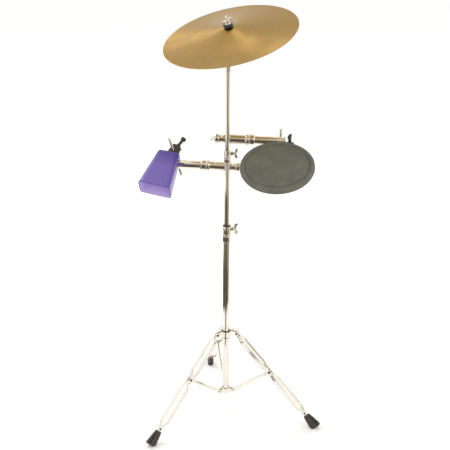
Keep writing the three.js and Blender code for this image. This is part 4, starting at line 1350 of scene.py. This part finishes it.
def add_floor_patch(name, inner, outer, start, end, color):
    """Part of a ring on the floor, dark as the floor beyond the paper. Angles are from -Y towards +X."""
    steps = 24
    height = 0.0005
    points = []
    for step in range(steps + 1):
        angle = math.radians(start + (end - start) * step / steps)
        points += [(radius * math.sin(angle), -radius * math.cos(angle), height) for radius in (inner, outer)]
    faces = [(2 * i, 2 * i + 1, 2 * i + 3, 2 * i + 2) for i in range(steps)]
    mesh = bpy.data.meshes.new(name)
    mesh.from_pydata(points, [], faces)
    add_surroundings(name, mesh, Glow(name, color))


def add_room():
    """The room that the chrome reflects: dim behind the camera, with a bright window on its left."""
    shape = bmesh.new()
    bmesh.ops.create_uvsphere(shape, u_segments=64, v_segments=32, radius=8)
    mesh = bpy.data.meshes.new("room")
    shape.to_mesh(mesh)
    shape.free()
    glow = Glow("room", ROOM["sides"])
    unit = glow.nodes.new("ShaderNodeVectorMath")
    unit.operation = "NORMALIZE"
    glow.links.new(glow.nodes.new("ShaderNodeTexCoord").outputs["Object"], unit.inputs[0])
    across, away, up = glow.axes(unit.outputs["Vector"])
    front = glow.spread(away, -0.15, -0.6)
    left = glow.spread(across, -0.4, -0.6)
    right = glow.spread(across, 0.2, 0.42)
    strip = glow.product(glow.spread(across, -0.5, -0.34), glow.spread(across, 0.2, 0.06))
    color = glow.mixed(ROOM["behind"], ROOM["sides"], front)
    color = glow.mixed(color, ROOM["window"], glow.product(front, left))
    color = glow.mixed(color, ROOM["right"], glow.product(front, right))
    dim = glow.mixed(ROOM["dim"], ROOM["dim_above"], glow.spread(up, -0.05, 0.75))
    color = glow.mixed(color, dim, glow.product(front, strip))
    color = glow.mixed(color, ROOM["above"], glow.spread(up, 0.45, 0.95))
    glow.links.new(color, glow.emission.inputs["Color"])
    add_surroundings("room", mesh, glow).location = (0, 0, 0.8)


def build_studio():
    mesh = bpy.data.meshes.new("floor")
    reach = 30
    corners = [(-reach, -reach, 0), (reach, -reach, 0), (reach, reach, 0), (-reach, reach, 0)]
    mesh.from_pydata(corners, [], [(0, 1, 2, 3)])
    mesh.materials.append(Finish("paper", (0.95, 0.945, 0.935), 0.95).material)
    new_object("floor", mesh)

    world = bpy.data.worlds.new("studio")
    world.use_nodes = True
    background = world.node_tree.nodes["Background"]
    background.inputs["Color"].default_value = (1.0, 1.0, 0.99, 1)
    background.inputs["Strength"].default_value = 1.06
    bpy.context.scene.world = world
    bpy.context.scene.view_settings.view_transform = "Standard"
    add_light("key", (-1.6, 0.6, 3.6), (0, 0, 1.0), 0.9, 26)
    add_light("fill", (2.4, -2.4, 2.8), (0, 0, 0.9), 1.6, 14)
    add_room()
    for patch in FLOOR_PATCHES:
        add_floor_patch(*patch)


# ---------------- assembly

build_camera()
build_studio()
build_tubes()
build_clamps()
build_collar()
build_hub()
build_legs()
build_tilter()
build_cymbal()
build_pad()
build_bell()

bpy.context.view_layer.update()
